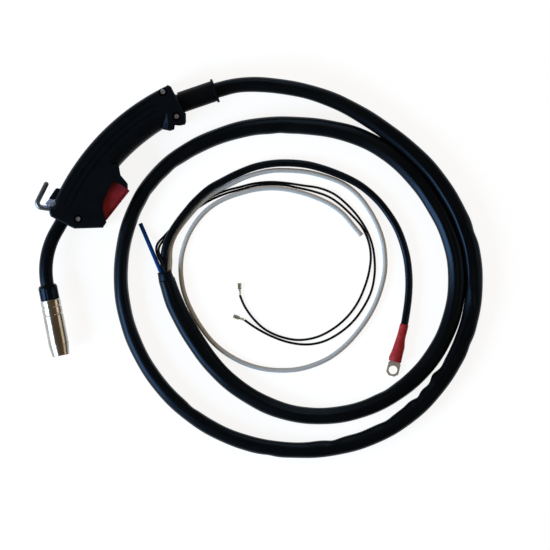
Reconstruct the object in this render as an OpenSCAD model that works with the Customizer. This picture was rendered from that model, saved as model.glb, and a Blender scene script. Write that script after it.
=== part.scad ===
// MIG welding torch with its hose assembly, lying on its side on a flat surface.
// Millimetres, +Z up. The surface is z = 0 and the handle's two shells part at mid thickness.
// The handle bends round one vertical axis, so most of it is drawn in polar form about that axis.

/* [Handle] */
// Radius of the handle's back edge
back_r = 233; // [225:1:241]
// Depth of the grip from its back edge to its inner edge
grip_depth = 36.5; // [34.5:0.5:38]
// Thickness of the handle
thickness = 32; // [31:0.5:36]
// Rounding of the grip's back corners
grip_round = 6; // [3:0.5:8]
// Wall of the shells
wall = 2.6; // [2.2:0.1:3]
// Chamfer round the front housing
housing_chamfer = 1.5; // [0.6:0.1:2.2]
// Width of the bevel where the neck leaves the housing
front_bevel = 10.2; // [7:0.2:11]
// Width of the three grooves in each side of the grip
groove_w = 1.6; // [1:0.2:2.2]
// Distance between those grooves
groove_pitch = 6.2; // [5.4:0.2:7]
// Gap left between the shells along the parting line
parting_gap = 0.2; // [0.1:0.05:0.4]
// Diameter of the shell screws
screw_d = 3.2; // [2.6:0.1:3.4]
// Diameter of the shell screws' heads
screw_head_d = 5.8; // [5:0.2:6.4]
// Depth of the shell screws' recesses
recess_depth = 4.5; // [3.6:0.1:5.5]

/* [Trigger and switch] */
// Length of the trigger from its pin to its free end
trigger_len = 38.2; // [36:0.2:39]
// Thickness of the trigger
trigger_w = 20; // [16:0.5:22]
// Diameter of the trigger's pin
trigger_pin_d = 3; // [2.5:0.1:3.6]
// Bevel along the trigger's finger face
trigger_bevel = 3; // [1.5:0.25:4]
// Gap round the trigger
trigger_gap = 0.5; // [0.4:0.05:0.8]
// Thickness of the switch
switch_t = 6.4; // [6:0.1:7.5]
// Depth of the switch
switch_depth = 9.5; // [8.5:0.1:9.8]
// Length of the switch
switch_len = 18.5; // [17:0.5:19]
// Diameter of the switch's button
button_d = 5; // [4:0.1:5.4]

/* [Neck and gas nozzle] */
// Outside diameter of the neck's sleeve
neck_d = 13.8; // [12.6:0.1:14.4]
// Outside diameter of the neck's inner tube
neck_tube_d = 9; // [8:0.1:9.6]
// Bore of the neck's inner tube
neck_bore_d = 5; // [4.6:0.1:6]
// Straight length of the neck in front of the handle
neck_straight = 10.6; // [8:0.1:16]
// Radius of the neck's bend
neck_bend_r = 77; // [60:1:90]
// Angle of the neck's bend
neck_bend = 41; // [35:1:45]
// Length of the insulating collar
collar_len = 15.5; // [12:0.5:20]
// Largest diameter of the insulating collar
collar_d = 19.4; // [18.4:0.2:20]
// Length of the gas nozzle
nozzle_len = 56.5; // [54:0.5:62]
// Outside diameter of the gas nozzle
nozzle_d = 20.4; // [19.8:0.1:22]
// Outside diameter of the gas nozzle's mouth
nozzle_mouth_d = 17.4; // [16.4:0.1:18.4]
// Wall of the gas nozzle
nozzle_wall = 2; // [1.6:0.1:2.2]
// Bore of the contact tip
wire_bore_d = 1.2; // [0.8:0.1:1.8]
// Diameter of the contact tip
tip_d = 8; // [7:0.1:9]

/* [Hanging hook] */
// Diameter of the hook's rod
hook_d = 5.2; // [4:0.1:5.6]
// Length of the hook's straight arm
hook_arm = 18.5; // [14:0.5:24]
// Angle that the hook's rod is bent through
hook_turn = 108; // [105:1:120]

/* [Hose assembly] */
// Outside diameter of the hose sheath
sheath_d = 16; // [15:0.1:16.4]
// Diameter of the power cable
power_d = 7.5; // [6.5:0.1:7.6]
// Diameter of the gas hose
gas_d = 4.8; // [4:0.1:4.9]
// Bore of the gas hose
gas_bore_d = 3; // [2.4:0.1:3.4]
// Diameter of the wire liner
liner_d = 4.2; // [3.6:0.1:4.3]
// Bore of the wire liner
liner_bore_d = 2; // [1.4:0.1:2.6]
// Diameter of the two control wires
control_d = 2; // [1.4:0.1:2.1]
// Outside diameter of the strain relief
boot_d = 21.3; // [20.6:0.1:23]
// Length of the strain relief outside the handle
boot_len = 38.5; // [30:0.5:39]
// Hole in the cable lug
lug_hole_d = 8.4; // [6.4:0.1:9]
// Width of the cable lug
lug_w = 12.6; // [12:0.2:15]
// Thickness of the cable lug's plate
lug_t = 2.4; // [1.6:0.1:3]

/* [Hidden] */
$fn = 64;

black = "#1c1e22";
eps = 0.01;
z_mid = thickness / 2;
clearance = 0.2;
slip = 0.1;
// Gap between the end of a soft cord and the fitting that it meets at a slant
end_gap = 0.4;

// ---- the handle's bend -------------------------------------------------------------------
// The neck leaves the handle at neck_exit. The bend's axis lies neck_inset inside the back edge
// from there, so a change of radius leaves the front of the torch where it is.
neck_exit = [-66.5, -4.5];
neck_heading = 240;
exit_angle = 160.3;
neck_inset = 14.8;
bend_axis = neck_exit - (back_r - neck_inset) * [cos(exit_angle), sin(exit_angle)];

// A place given by its depth in from the back edge and its angle about the bend's axis
function at(depth, a) = bend_axis + (back_r - depth) * [cos(a), sin(a)];
function flat_to(points) = [for (p = points) at(p[0], p[1])];

// An outline moved inwards by d, for points that run anticlockwise
function unit(v) = v / norm(v);
function left_of(v) = [-v[1], v[0]];
function inset(points, d) = [
    for (i = [0 : len(points) - 1])
        let (n = len(points),
             before = left_of(unit(points[i] - points[(i + n - 1) % n])),
             after = left_of(unit(points[(i + 1) % n] - points[i])))
        points[i] + d * (before + after) / (1 + before * after)
];

// How far a chamfer runs on past corner i: in a hollow corner, to where it meets the next one
function past_corner(points, i, c) =
    let (n = len(points), a = points[i % n] - points[(i + n - 1) % n], b = points[(i + 1) % n] - points[i % n])
    eps + c * tan(max(-atan2(a[0] * b[1] - a[1] * b[0], a * b), 0) / 2);

// What a chamfer takes off both rims of the listed edges
module rim_cuts(points, edges, c) {
    n = len(points);
    for (i = edges) {
        way = points[(i + 1) % n] - points[i];
        before = past_corner(points, i, c);
        after = past_corner(points, i + 1, c);
        for (side = [0, 1])
            translate([points[i][0], points[i][1], side * thickness])
                rotate([0, 0, atan2(way[1], way[0])])
                    mirror([0, 0, side])
                        rotate([45, 0, 0])
                            translate([-before, c * (sin(45) - 4), -3 * c])
                                cube([before + norm(way) + after, 4 * c, 6 * c]);
    }
}

// A slab of one outline, with both rims of the listed edges chamfered
module chamfered_slab(points, edges, c) {
    difference() {
        linear_extrude(thickness)
            polygon(points);
        rim_cuts(points, edges, c);
    }
}

// Turns a profile of (radius, z) about the handle's axis from angle a0 to a1
module round_bend(a0, a1) {
    translate(bend_axis)
        rotate([0, 0, a0])
            rotate_extrude(angle = a1 - a0, $fn = 240)
                children();
}

// ---- the grip ----------------------------------------------------------------------------
grip_start = 115.6;
grip_end = 157.8;
grip_r = back_r - grip_depth;
groove_start = 120.4;
groove_end = 155.6;
groove_depth = 4.7;

// Flat sides towards the back, a half round towards the fingers
module grip_profile(shrink) {
    half = z_mid - shrink;
    round_r = max(grip_round - shrink, 1);
    outer = back_r - shrink;
    nose = grip_r + z_mid;
    translate([nose, z_mid])
        circle(r = half);
    translate([nose, z_mid - half])
        square([outer - nose - round_r, 2 * half]);
    translate([nose, z_mid - half + round_r])
        square([outer - nose, 2 * (half - round_r)]);
    for (side = [-1, 1])
        translate([outer - round_r, z_mid + side * (half - round_r)])
            circle(r = round_r);
}

// ---- front housing -----------------------------------------------------------------------
// Each corner is [depth in from the back edge, angle]
front_corners = [
    [11, 140.5], [9, 156.9], [-2.6, 157.7], [0.6, 159.3], [2.5, 159.8], [21.4, 160.5], [29, 160.7],
    [55.4, 157.4], [56.5, 155.1], [57.3, 142.3], [54.2, 141.1], [43, 140.4], [38.6, 139.3],
    [35.2, 138.4], [29.4, 139.6], [17, 139.6]
];
front_outline = flat_to(front_corners);
front_rims = [1, 2, 3, 4, 5, 6, 7, 9, 10, 11, 12, 13, 14];
// The bevels run along the front as far as the far side of the neck
bevelled_edge = 4;
bevel_len = 21.5;
bevel_reach = 30;
cavity_end = grip_end - 1;
floor_step = 0.2;

// ---- rear collar -------------------------------------------------------------------------
rear_corners = [
    [12, 119.6], [23, 120], [31, 121], [36.5, 122], [41.6, 120.4], [42.4, 119.1], [39, 118.3],
    [41.8, 117], [43, 115.5], [41, 114.9], [33.2, 113.9], [30.4, 114.3], [2.6, 114.6],
    [-0.4, 115.2], [0.6, 115.9], [3, 118.4]
];
rear_rims = [3 : 14];
// The edges where it rises out of the half round of the grip
rear_slopes = [1, 2];
rear_slope = 5;
rear_outline = flat_to(rear_corners);

// ---- strain relief's place ---------------------------------------------------------------
boot_root = at(21, 114.3);
boot_heading = 18.9;
function boot_point(t, a, b) =
    [boot_root[0], boot_root[1], z_mid]
    + t * [cos(boot_heading), sin(boot_heading), 0]
    + a * [sin(boot_heading), -cos(boot_heading), 0]
    + b * [0, 0, 1];
boot_neck_r = 9;
boot_flange_r = 9.8;
boot_flange_t = 1.8;
boot_shoulder = 12;
rear_wall = 4.2;

// Places a shape that stands on +Z so that it runs along a level heading
module along(x, y, z, heading) {
    translate([x, y, z])
        rotate([0, 0, heading])
            rotate([0, 90, 0])
                children();
}
module in_boot() {
    along(boot_root[0], boot_root[1], z_mid, boot_heading)
        children();
}

// ---- trigger's place ---------------------------------------------------------------------
pin_at = at(50.7, 154.5);
trigger_stroke = 6.5;
trigger_low = z_mid - trigger_w / 2;
pin_len = thickness - 4;
eye_r = trigger_pin_d / 2 + 2.4;
pocket_low = trigger_low - trigger_gap;
// The finger face runs from the eye to the free end
face_foot = [4.4, -2.4];
face_way = unit([22.4, 28.4]);
face_end = face_foot + (trigger_len + 4) * face_way;
// The pad that works the switch stands across the button's way
pad_x = 1;
pad_low = 21;
pad_high = 29;
// Edge of the opening in the shells' sides, where the trigger shows
notch_edge = [[3, -1.6], [0.7, 7.6], [0.5, 11.6], [1.4, 17.6], [10, 35.3]];
notch_lap = 0.4;

module in_pin() {
    translate([pin_at[0], pin_at[1], 0])
        children();
}

module notch_shape(grow) {
    edge = [for (i = [len(notch_edge) - 1 : -1 : 0]) notch_edge[i] - [grow, -grow * 0.3]];
    intersection() {
        circle(r = trigger_len - notch_lap + grow);
        polygon(concat([[4.5 + grow, -5.4 - grow], [60, -30], [60, 60], edge[0] + [3, 5]], edge));
    }
}

module pocket_shape() {
    reach = trigger_len + trigger_gap;
    slack = trigger_gap + 2;
    intersection() {
        circle(r = reach);
        polygon([
            [3, -eye_r - trigger_gap], [-3, -eye_r - trigger_gap], [-eye_r - slack, -3], [-eye_r - slack, 12],
            [pad_x - 4.6, pad_high - 4], [pad_x - 3, pad_high + 2], [3, reach + 3], [16, reach + 8],
            [60, 60], [60, -20], [5, -5.4]
        ]);
    }
}

// ---- switch's place ----------------------------------------------------------------------
button_y = 25;
button_rest_gap = 0.3;
button_stroke = 2.8;
button_tip = pad_x - button_rest_gap;
button_out = 5.8;
switch_face = button_tip - button_out;
switch_y = 11;
switch_pegs = [3.4, 15.1];
peg_d = 2.4;
peg_inset = 3;
peg_shoulder_d = 5;
button_hole = button_stroke + 2.4;

// ---- screws, as [depth, angle] -------------------------------------------------------------
screw_places = [at(29, 157.8), at(31.9, 116.7), at(3.8, 117)];
screw_low = 6;
boss_r = screw_d / 2 + 1.8;
recess_r = 4.5;
cup_r = recess_r + 1.4;
recess_z = thickness - recess_depth;
head_t = 2.2;

// ---- neck's stations, counted along its axis from the handle's front ----------------------
block_front = -16;
block_d = 14;
block_len = 18;
flange_len = 8;
flange_half = 5.5;
flange_reach = z_mid - wall - 1.2;
entry_rise = 7;
block_rear = block_front - block_len - flange_len;
tube_seat = 10;
cradle_stations = [-19.5, -30.5];
cradle_t = 2;
cradle_back = 12;
cradle_front = 8.5;
ferrule_len = 12;
nipple_len = 6;

module in_neck() {
    along(neck_exit[0], neck_exit[1], z_mid, neck_heading)
        children();
}

// A place behind the neck, s along its axis, b up from mid thickness
function neck_point(s, b) = concat(
    neck_exit + s * [cos(neck_heading), sin(neck_heading)],
    [z_mid + b]
);

bend_start = neck_exit + neck_straight * [cos(neck_heading), sin(neck_heading)];
front_heading = neck_heading + neck_bend;
neck_end = bend_start
    + neck_bend_r * [cos(neck_heading + 90), sin(neck_heading + 90)]
    - neck_bend_r * [cos(front_heading + 90), sin(front_heading + 90)];

// The front frame stands at the end of the neck's bend
module in_front() {
    along(neck_end[0], neck_end[1], z_mid, front_heading)
        children();
}

// A hollow run of the neck: a straight length, the bend, and a straight length in the front frame
module neck_run(outer, bore, s0, s1) {
    module ring(length) {
        difference() {
            cylinder(d = outer, h = length);
            translate([0, 0, -1])
                cylinder(d = bore, h = length + 2);
        }
    }
    in_neck()
        translate([0, 0, s0])
            ring(neck_straight - s0);
    translate([bend_start[0], bend_start[1], z_mid])
        rotate([0, 0, neck_heading])
            translate([0, neck_bend_r, 0])
                rotate([0, 0, -90])
                    rotate_extrude(angle = neck_bend, $fn = 240)
                        translate([neck_bend_r, 0])
                            difference() {
                                circle(d = outer);
                                circle(d = bore);
                            }
    in_front()
        ring(s1);
}

// ---- nozzle end's stations, counted from the end of the neck's bend -----------------------
spigot_end = collar_len + 12.5;
holder_start = 6;
holder_r = 5;
holder_head_r = 6.3;
holder_end = spigot_end + 12;
gas_hole_d = 2;
thread_d = 6;
thread_len = 6.7;
tip_end = collar_len + nozzle_len - 3.5;
nozzle_bore_r = nozzle_d / 2 - nozzle_wall;
spigot_r = nozzle_bore_r - 0.4;
ring_wire = 0.6;
ring_station = collar_len + 7;
collar_flutes = 10;
flute_r = 1.3;

// ---- hook --------------------------------------------------------------------------------
// The rod lies in the parting line, in a groove of a block that a set screw wedges it into
hook_foot = at(2.11, 157.9);
hook_heading = 171.5;
hook_run = 11.7;
hook_bend_r = 4.7;
boss_half = 9;
boss_outline = flat_to([
    [3.2, 153.1], [0.4, 152.5], [-3.2, 152.8], [-4.2, 153.2], [-5.4, 155.3], [-5.8, 155.9], [-1, 155.8], [2.6, 154.9]
]);
clamp_outline = flat_to([
    [-5.4, 155.9], [-7.2, 157.4], [-4.7, 157.8], [1, 157.5], [2.9, 156.5], [0.1, 155.7]
]);
clamp_low = 8;
clamp_high = 25;
set_screw_len = 12;
set_screw_at = hook_foot + 2.4 * [cos(hook_heading), sin(hook_heading)]
    + (hook_d + screw_d) / 2 * [sin(hook_heading), -cos(hook_heading)];

// ---- hose assembly -----------------------------------------------------------------------
// The sheath leaves the strain relief, comes down to the surface and lies in two loose turns.
// coil_radii gives the turns' radius every 30 degrees, clockwise from 120 degrees.
coil_centre = [172, -52];
coil_first = 120;
coil_step = 30;
coil_radii = [
    202, 180.3, 164.4, 165.6, 173.5, 178.6, 181.4, 180.2, 181.2, 180.6, 178.9, 173.2,
    155.8, 144.5, 145.8, 147.9, 156.3, 158.4, 154.2, 144.9, 132.7, 126.4, 135.5, 150
];
coil_from = 100;
coil_to = -536;
coil_ring = 10.6;
landing = [108, 66];

// Catmull-Rom blend of four neighbours
function blend4(p, t) =
    0.5 * (2 * p[1] + (p[2] - p[0]) * t + (2 * p[0] - 5 * p[1] + 4 * p[2] - p[3]) * t * t
    + (3 * p[1] - p[0] - 3 * p[2] + p[3]) * t * t * t);
function coil_r(a) =
    let (s = (coil_first - a) / coil_step, i = floor(s), last = len(coil_radii) - 1)
    blend4([for (k = [-1 : 2]) coil_radii[min(max(i + k, 0), last)]], s - i);
function ease(t) = t <= 0 ? 0 : t >= 1 ? 1 : t * t * (3 - 2 * t);
function coil_z(a) = let (low = sheath_d / 2) low + (z_mid - low) * ease((a - landing[1]) / (landing[0] - landing[1]));
function coil_point(a) =
    [coil_centre[0] + coil_r(a) * cos(a), coil_centre[1] + coil_r(a) * sin(a), coil_z(a)];
coil_rings = round((coil_from - coil_to) / coil_ring);
coil_end_step = 2;
coil_line = concat(
    [for (i = [0 : coil_rings - 1]) coil_point(coil_from + (coil_to - coil_from) * i / coil_rings)],
    [coil_point(coil_to + coil_end_step), coil_point(coil_to)]
);
sheath_line = concat(
    [boot_point(boot_shoulder, 0, 0), boot_point(25, 0, 0), boot_point(38, 0, 0), [111.5, 133, 15.4]],
    coil_line
);

// Least gap between one turn of the sheath and the next, from the centres of its rings
function to_line(p, q0, q1) =
    let (d = q1 - q0, t = min(max((p - q0) * d / (d * d), 0), 1)) norm(p - q0 - t * d);
turn_gaps = [
    for (i = [0 : len(coil_line) - 1])
        for (j = [i + 12 : len(coil_line) - 2])
            to_line(coil_line[i], coil_line[j], coil_line[j + 1]) - sheath_d
];
echo(least_gap_between_turns_of_the_sheath = min(turn_gaps));

// The leads come out of the sheath's end: a is across to the right, b is up
sheath_end = coil_point(coil_to);
end_way = unit(sheath_end - coil_point(coil_to + coil_end_step));
end_across = [end_way[1], -end_way[0], 0];
function end_point(s, a, b) = sheath_end + s * end_way + a * end_across + b * [0, 0, 1];
sleeve_len = 8;
sleeve_d = 15.4;
sleeve_bore_d = 14;

// Cable lug
lug_at = [276.2, -107];
lug_heading = 256;
lug_axis_z = 5;
cable_in_sleeve = 12;
lug_sleeve_len = 38;
barrel_d = 8.4;
barrel_len = 22;
lug_hole_at = 46.3;
function lug_point(s) = [lug_at[0] + s * cos(lug_heading), lug_at[1] + s * sin(lug_heading), lug_axis_z];

power_low = 3.75;
power_route = concat(
    [end_point(0, -0.9, -2.9), end_point(sleeve_len, -0.5, -3.1)],
    [
        [36, -42, 4.2], [37, -31.5, 4.4], [40.5, -21, 5.6], [45, -12, 6], [51, -3, 6], [58, 6, 5.7],
        [67, 16.5, 4.2], [81, 29, power_low], [95, 37, power_low], [110, 44.5, power_low],
        [127, 51, power_low], [145, 54.5, power_low], [163, 55, power_low], [181, 53, power_low],
        [199, 48, power_low], [215.5, 41.5, power_low], [230, 34, power_low], [242, 25, power_low],
        [252.5, 14.5, power_low], [261.5, 2.5, power_low], [269, -10, power_low],
        [274.5, -23.5, power_low], [278.5, -38, power_low], [280.5, -52.5, power_low],
        [281, -68, power_low], [280, -83, power_low], [278, -97, 4.3]
    ],
    [lug_point(0), lug_point(cable_in_sleeve)]
);

hose_mouth = [233.5, -17.5];
hose_heading = -50;
hose_straight = 14;

gas_low = 2.4;
gas_route = concat(
    [end_point(0, 4.4, 0.6), end_point(sleeve_len, 4.4, 0.4)],
    [
        [42.8, -41, 5.6], [43.8, -31, 3.2], [46.5, -23, gas_low], [50.5, -15, 2.6], [56.5, -6.5, 3.8],
        [63.5, 2, 4.8], [71.5, 12, 4.8], [79, 19.5, 4.6], [87, 26, 3], [98, 31.5, gas_low],
        [114, 39.5, gas_low], [129, 44.5, gas_low], [145, 47.5, gas_low], [162, 47.5, gas_low],
        [179, 46, gas_low], [197, 41.5, gas_low], [214, 35, gas_low], [228.5, 24.5, gas_low],
        [240.5, 9.5, gas_low], [249.5, -7, gas_low], [255, -23, gas_low], [257, -38, gas_low],
        [257, -52.5, gas_low], [254, -67, gas_low], [249, -82, gas_low], [241.5, -97, gas_low],
        [232, -111, gas_low], [219, -126, gas_low], [203.5, -138.5, gas_low], [188.5, -146, gas_low],
        [172, -151, gas_low], [154.5, -152.5, gas_low], [136, -151, gas_low], [118, -146, gas_low],
        [100.5, -137, gas_low], [84.5, -124, gas_low], [71.5, -107, gas_low], [62.5, -91, gas_low],
        [56, -75, gas_low], [53, -58.5, gas_low], [53, -42, gas_low], [56, -28, gas_low],
        [62, -13.5, gas_low], [71.5, 0.5, gas_low], [83, 11.5, gas_low], [97, 19.5, gas_low],
        [113, 25, gas_low], [127, 28.5, gas_low], [142, 30, gas_low], [157, 29, gas_low],
        [173, 25.5, gas_low], [188, 20.5, gas_low], [202, 14, gas_low], [215, 4.5, gas_low]
    ],
    [[hose_mouth[0] - hose_straight * cos(hose_heading), hose_mouth[1] - hose_straight * sin(hose_heading), gas_low]]
);
wire_low = 1;
long_wire_route = concat(
    [end_point(0, 1.2, 3), end_point(sleeve_len, 0.2, 2.6)],
    [
        [32.8, -44.5, 9.2], [29.6, -37.5, 6.4], [28.2, -31, 3.4], [30, -25, 1.4], [35.5, -19, wire_low],
        [41.5, -12.5, wire_low], [54, 0, wire_low], [68, 11.5, wire_low], [82, 20.5, wire_low],
        [97, 27, wire_low], [112, 31, wire_low], [126, 34.5, wire_low], [142, 36, wire_low],
        [158, 35, wire_low], [175, 32.5, wire_low], [191, 30, wire_low], [206, 24, wire_low],
        [218.5, 14, wire_low], [229.5, 2, wire_low], [238.5, -12, wire_low], [244, -26, wire_low],
        [246.5, -41, wire_low], [246.5, -57, wire_low], [243, -74, wire_low], [235, -90, wire_low],
        [224, -104.5, wire_low], [210, -116, wire_low], [194, -124, wire_low], [177, -126.5, wire_low],
        [159.5, -124, wire_low], [143, -118, wire_low], [128, -110, wire_low], [116.5, -102, wire_low]
    ]
);
short_wire_route = concat(
    [end_point(0, 1.6, 5.3), end_point(sleeve_len, 0.8, 4.9)],
    [
        [34.8, -44.5, 11], [32, -38, 8.6], [30.6, -32.5, 5.6], [31.8, -27.5, 2.6], [35.5, -22.5, 1.2],
        [43.2, -14, wire_low], [55.6, -1.6, wire_low], [69.4, 9.8, wire_low], [83, 18.2, wire_low],
        [98, 24.4, wire_low], [113, 28.6, wire_low], [127, 32.2, wire_low], [142, 33.6, wire_low],
        [157, 32.8, wire_low], [169, 30.4, wire_low], [184, 27, wire_low], [199, 22, wire_low],
        [211, 14.5, wire_low], [223, 3.5, wire_low], [234, -9, wire_low], [240.5, -23.5, wire_low],
        [242.8, -38.5, wire_low], [241, -54, wire_low], [237, -68, wire_low], [230, -84, wire_low],
        [219.5, -98.5, wire_low], [205.5, -110.5, wire_low], [189, -119, wire_low],
        [171, -122, wire_low], [153.5, -119, wire_low], [138, -112, wire_low], [126.5, -102, wire_low],
        [117, -89, wire_low], [111.8, -77, wire_low]
    ]
);
long_terminal = [116.5, -102, 160];
short_terminal = [111.8, -77, 92];

// Straight wire liner, from the sheath's end down to the surface. It leans, so its foot stands a little out
liner_lift = 0.7;
liner_foot = end_point(liner_lift, -2, 3.6);
liner_tip = [12.4, -5.6, 2.3];

// ---- cords -------------------------------------------------------------------------------
// Points of a smooth curve through a route, with the given number of steps to each span
function smooth(route, steps) =
    let (n = len(route))
    concat(
        [
            for (i = [0 : n - 2])
                for (k = [0 : steps - 1])
                    blend4([route[max(i - 1, 0)], route[i], route[i + 1], route[min(i + 2, n - 1)]], k / steps)
        ],
        [route[n - 1]]
    );

// A tube of one diameter along a line of points, one ring of corners at each
module tube(line, d, sides) {
    n = len(line);
    way = [for (i = [0 : n - 1]) unit(line[min(i + 1, n - 1)] - line[max(i - 1, 0)])];
    corners = [
        for (i = [0 : n - 1])
            let (across = unit(cross([0, 0, 1], way[i])), up = cross(way[i], across))
                for (k = [0 : sides - 1])
                    let (a = 360 * k / sides)
                        line[i] + d / 2 * (cos(a) * across + sin(a) * up)
    ];
    skin = [
        for (i = [0 : n - 2])
            for (k = [0 : sides - 1])
                let (m = (k + 1) % sides, p = i * sides, q = p + sides)
                    each [[p + k, q + k, q + m], [p + k, q + m, p + m]]
    ];
    first = [[for (k = [0 : sides - 1]) k]];
    last = [[for (k = [sides - 1 : -1 : 0]) (n - 1) * sides + k]];
    polyhedron(corners, concat(first, skin, last));
}

// ==== handle ==============================================================================
module hook_boss() {
    translate([0, 0, z_mid - boss_half])
        linear_extrude(2 * boss_half)
            polygon(boss_outline);
}

// Planes that bevel both sides of the housing where the neck comes out
module front_bevels() {
    front = front_outline[bevelled_edge];
    way = unit(front_outline[bevelled_edge + 1] - front);
    corner = front + front_bevel * cos(45) * left_of(way);
    for (side = [0, 1])
        translate([corner[0], corner[1], side * thickness])
            rotate([0, 0, atan2(way[1], way[0])])
                mirror([0, 0, side])
                    rotate([45, 0, 0])
                        translate([-bevel_reach, -bevel_reach, -bevel_reach])
                            cube([bevel_reach + bevel_len, bevel_reach, bevel_reach]);
}

module grooves() {
    for (k = [0 : 2])
        for (z = [0, thickness])
            round_bend(groove_start, groove_end)
                translate([back_r - groove_depth - groove_pitch * k, z])
                    circle(d = groove_w);
}

module outer_form() {
    difference() {
        union() {
            round_bend(grip_start, grip_end)
                grip_profile(0);
            chamfered_slab(front_outline, front_rims, housing_chamfer);
            difference() {
                chamfered_slab(rear_outline, rear_rims, housing_chamfer);
                rim_cuts(rear_outline, rear_slopes, rear_slope);
            }
        }
        front_bevels();
        grooves();
    }
    hook_boss();
}

// Everything that is hollow inside the closed handle
module hollow() {
    difference() {
        union() {
            round_bend(grip_start - 2, cavity_end)
                grip_profile(wall);
            translate([0, 0, wall + floor_step])
                linear_extrude(thickness - 2 * (wall + floor_step))
                    difference() {
                        polygon(inset(front_outline, wall));
                        translate(pin_at)
                            notch_shape(wall);
                    }
        }
        in_boot()
            translate([0, 0, -rear_wall])
                cylinder(r = 60, h = 40);
    }
    in_pin()
        translate([0, 0, pocket_low])
            linear_extrude(trigger_w + 2 * trigger_gap)
                pocket_shape();
}

module openings() {
    in_pin()
        translate([0, 0, -1])
            linear_extrude(thickness + 2)
                notch_shape(0);
    in_neck()
        translate([0, 0, -14])
            cylinder(d = neck_d + 2 * clearance, h = 30);
    in_boot() {
        translate([0, 0, -rear_wall - 1])
            cylinder(r = boot_neck_r + clearance, h = 30);
        translate([0, 0, -rear_wall / 2 - boot_flange_t / 2 - clearance])
            cylinder(r = boot_flange_r + clearance, h = boot_flange_t + 2 * clearance);
    }
    in_pin()
        translate([0, 0, z_mid - pin_len / 2 - slip])
            cylinder(d = trigger_pin_d + 2 * slip, h = pin_len + 2 * slip);
    for (p = screw_places)
        translate([p[0], p[1], 0]) {
            translate([0, 0, recess_z])
                cylinder(r = recess_r, h = recess_depth + 1);
            translate([0, 0, screw_low - 0.5])
                cylinder(d = screw_d + 2 * slip, h = thickness);
        }
    translate([0, 0, clamp_low - clearance])
        linear_extrude(thickness)
            polygon(inset(clamp_outline, -clearance));
    along(hook_foot[0], hook_foot[1], z_mid, hook_heading)
        translate([0, 0, -clearance])
            cylinder(d = hook_d + 2 * clearance, h = hook_run);
}

// Ribs that cradle the connector block
module cradles() {
    for (s = cradle_stations)
        in_neck()
            translate([0, 0, s - cradle_t / 2])
                difference() {
                    translate([-z_mid + 1, -cradle_back, 0])
                        cube([thickness - 2, cradle_back + cradle_front, cradle_t]);
                    translate([0, 0, -1])
                        cylinder(d = block_d + 2 * slip, h = cradle_t + 2);
                }
}

// Columns for the screws, with a cup round each recess
module bosses() {
    for (p = screw_places)
        translate([p[0], p[1], 0]) {
            cylinder(r = boss_r, h = thickness);
            translate([0, 0, recess_z - 1.6])
                cylinder(r = cup_r, h = recess_depth + 1.6);
        }
    in_pin()
        for (z = [0, z_mid + trigger_w / 2 + trigger_gap])
            translate([0, 0, z])
                cylinder(r = eye_r + 0.6, h = pocket_low);
}

module shell(z0, z1) {
    difference() {
        intersection() {
            union() {
                difference() {
                    outer_form();
                    hollow();
                }
                intersection() {
                    union() {
                        cradles();
                        bosses();
                    }
                    outer_form();
                }
            }
            translate([-back_r, -back_r, z0])
                cube([2 * back_r, 2 * back_r, z1 - z0]);
        }
        openings();
    }
}

module handle_shell_bottom() {
    peg_root = switch_y + pin_at[1];
    color(black) {
        shell(-1, z_mid - parting_gap / 2);
        // Posts that the switch stands on, and the pegs that hold it
        for (y = switch_pegs)
            translate([pin_at[0] + switch_face - switch_depth + peg_inset, peg_root + y, wall - 0.5]) {
                cylinder(d = peg_shoulder_d, h = z_mid - switch_t / 2 - wall + 0.5);
                cylinder(d = peg_d - 2 * slip, h = z_mid + switch_t / 2 - wall + 0.5);
            }
    }
}

module handle_shell_top() {
    color(black)
        shell(z_mid + parting_gap / 2, thickness + 1);
}

module shell_screws() {
    color("silver")
        for (p = screw_places)
            translate([p[0], p[1], 0])
                difference() {
                    union() {
                        translate([0, 0, screw_low])
                            cylinder(d = screw_d, h = recess_z - screw_low + eps);
                        translate([0, 0, recess_z])
                            cylinder(d1 = screw_head_d, d2 = screw_head_d - 1.2, h = head_t);
                    }
                    for (a = [0, 90])
                        rotate([0, 0, a + 20])
                            translate([0, 0, recess_z + head_t])
                                cube([3.2, 0.7, 2.2], center = true);
                }
}

// ==== hook ================================================================================
module hanging_hook() {
    bend_at = hook_run * [cos(hook_heading), sin(hook_heading)];
    color("#a8a89c")
        translate([hook_foot[0], hook_foot[1], z_mid]) {
            rotate([0, 0, hook_heading])
                rotate([0, 90, 0])
                    cylinder(d = hook_d, h = hook_run);
            translate([bend_at[0], bend_at[1], 0])
                rotate([0, 0, hook_heading])
                    translate([0, -hook_bend_r, 0])
                        rotate([0, 0, 90 - hook_turn]) {
                            rotate_extrude(angle = hook_turn)
                                translate([hook_bend_r, 0])
                                    circle(d = hook_d, $fn = 48);
                            translate([hook_bend_r, 0, 0])
                                rotate([90, 0, 0]) {
                                    cylinder(d = hook_d, h = hook_arm);
                                    translate([0, 0, hook_arm])
                                        sphere(d = hook_d);
                                }
                        }
        }
}

module hook_clamp_block() {
    color("silver")
        difference() {
            translate([0, 0, clamp_low])
                linear_extrude(clamp_high - clamp_low)
                    polygon(clamp_outline);
            along(hook_foot[0], hook_foot[1], z_mid, hook_heading)
                translate([0, 0, -5])
                    cylinder(d = hook_d + 2 * slip, h = hook_run + 5);
            translate([set_screw_at[0], set_screw_at[1], z_mid - 3])
                cylinder(d = screw_d + 2 * slip, h = thickness);
        }
}

module hook_set_screw() {
    color("gray")
        translate([set_screw_at[0], set_screw_at[1], clamp_high + 0.6 - set_screw_len])
            difference() {
                cylinder(d = screw_d, h = set_screw_len);
                translate([0, 0, set_screw_len - 1.6])
                    cylinder(d = 1.8, h = 2, $fn = 6);
            }
}

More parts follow.
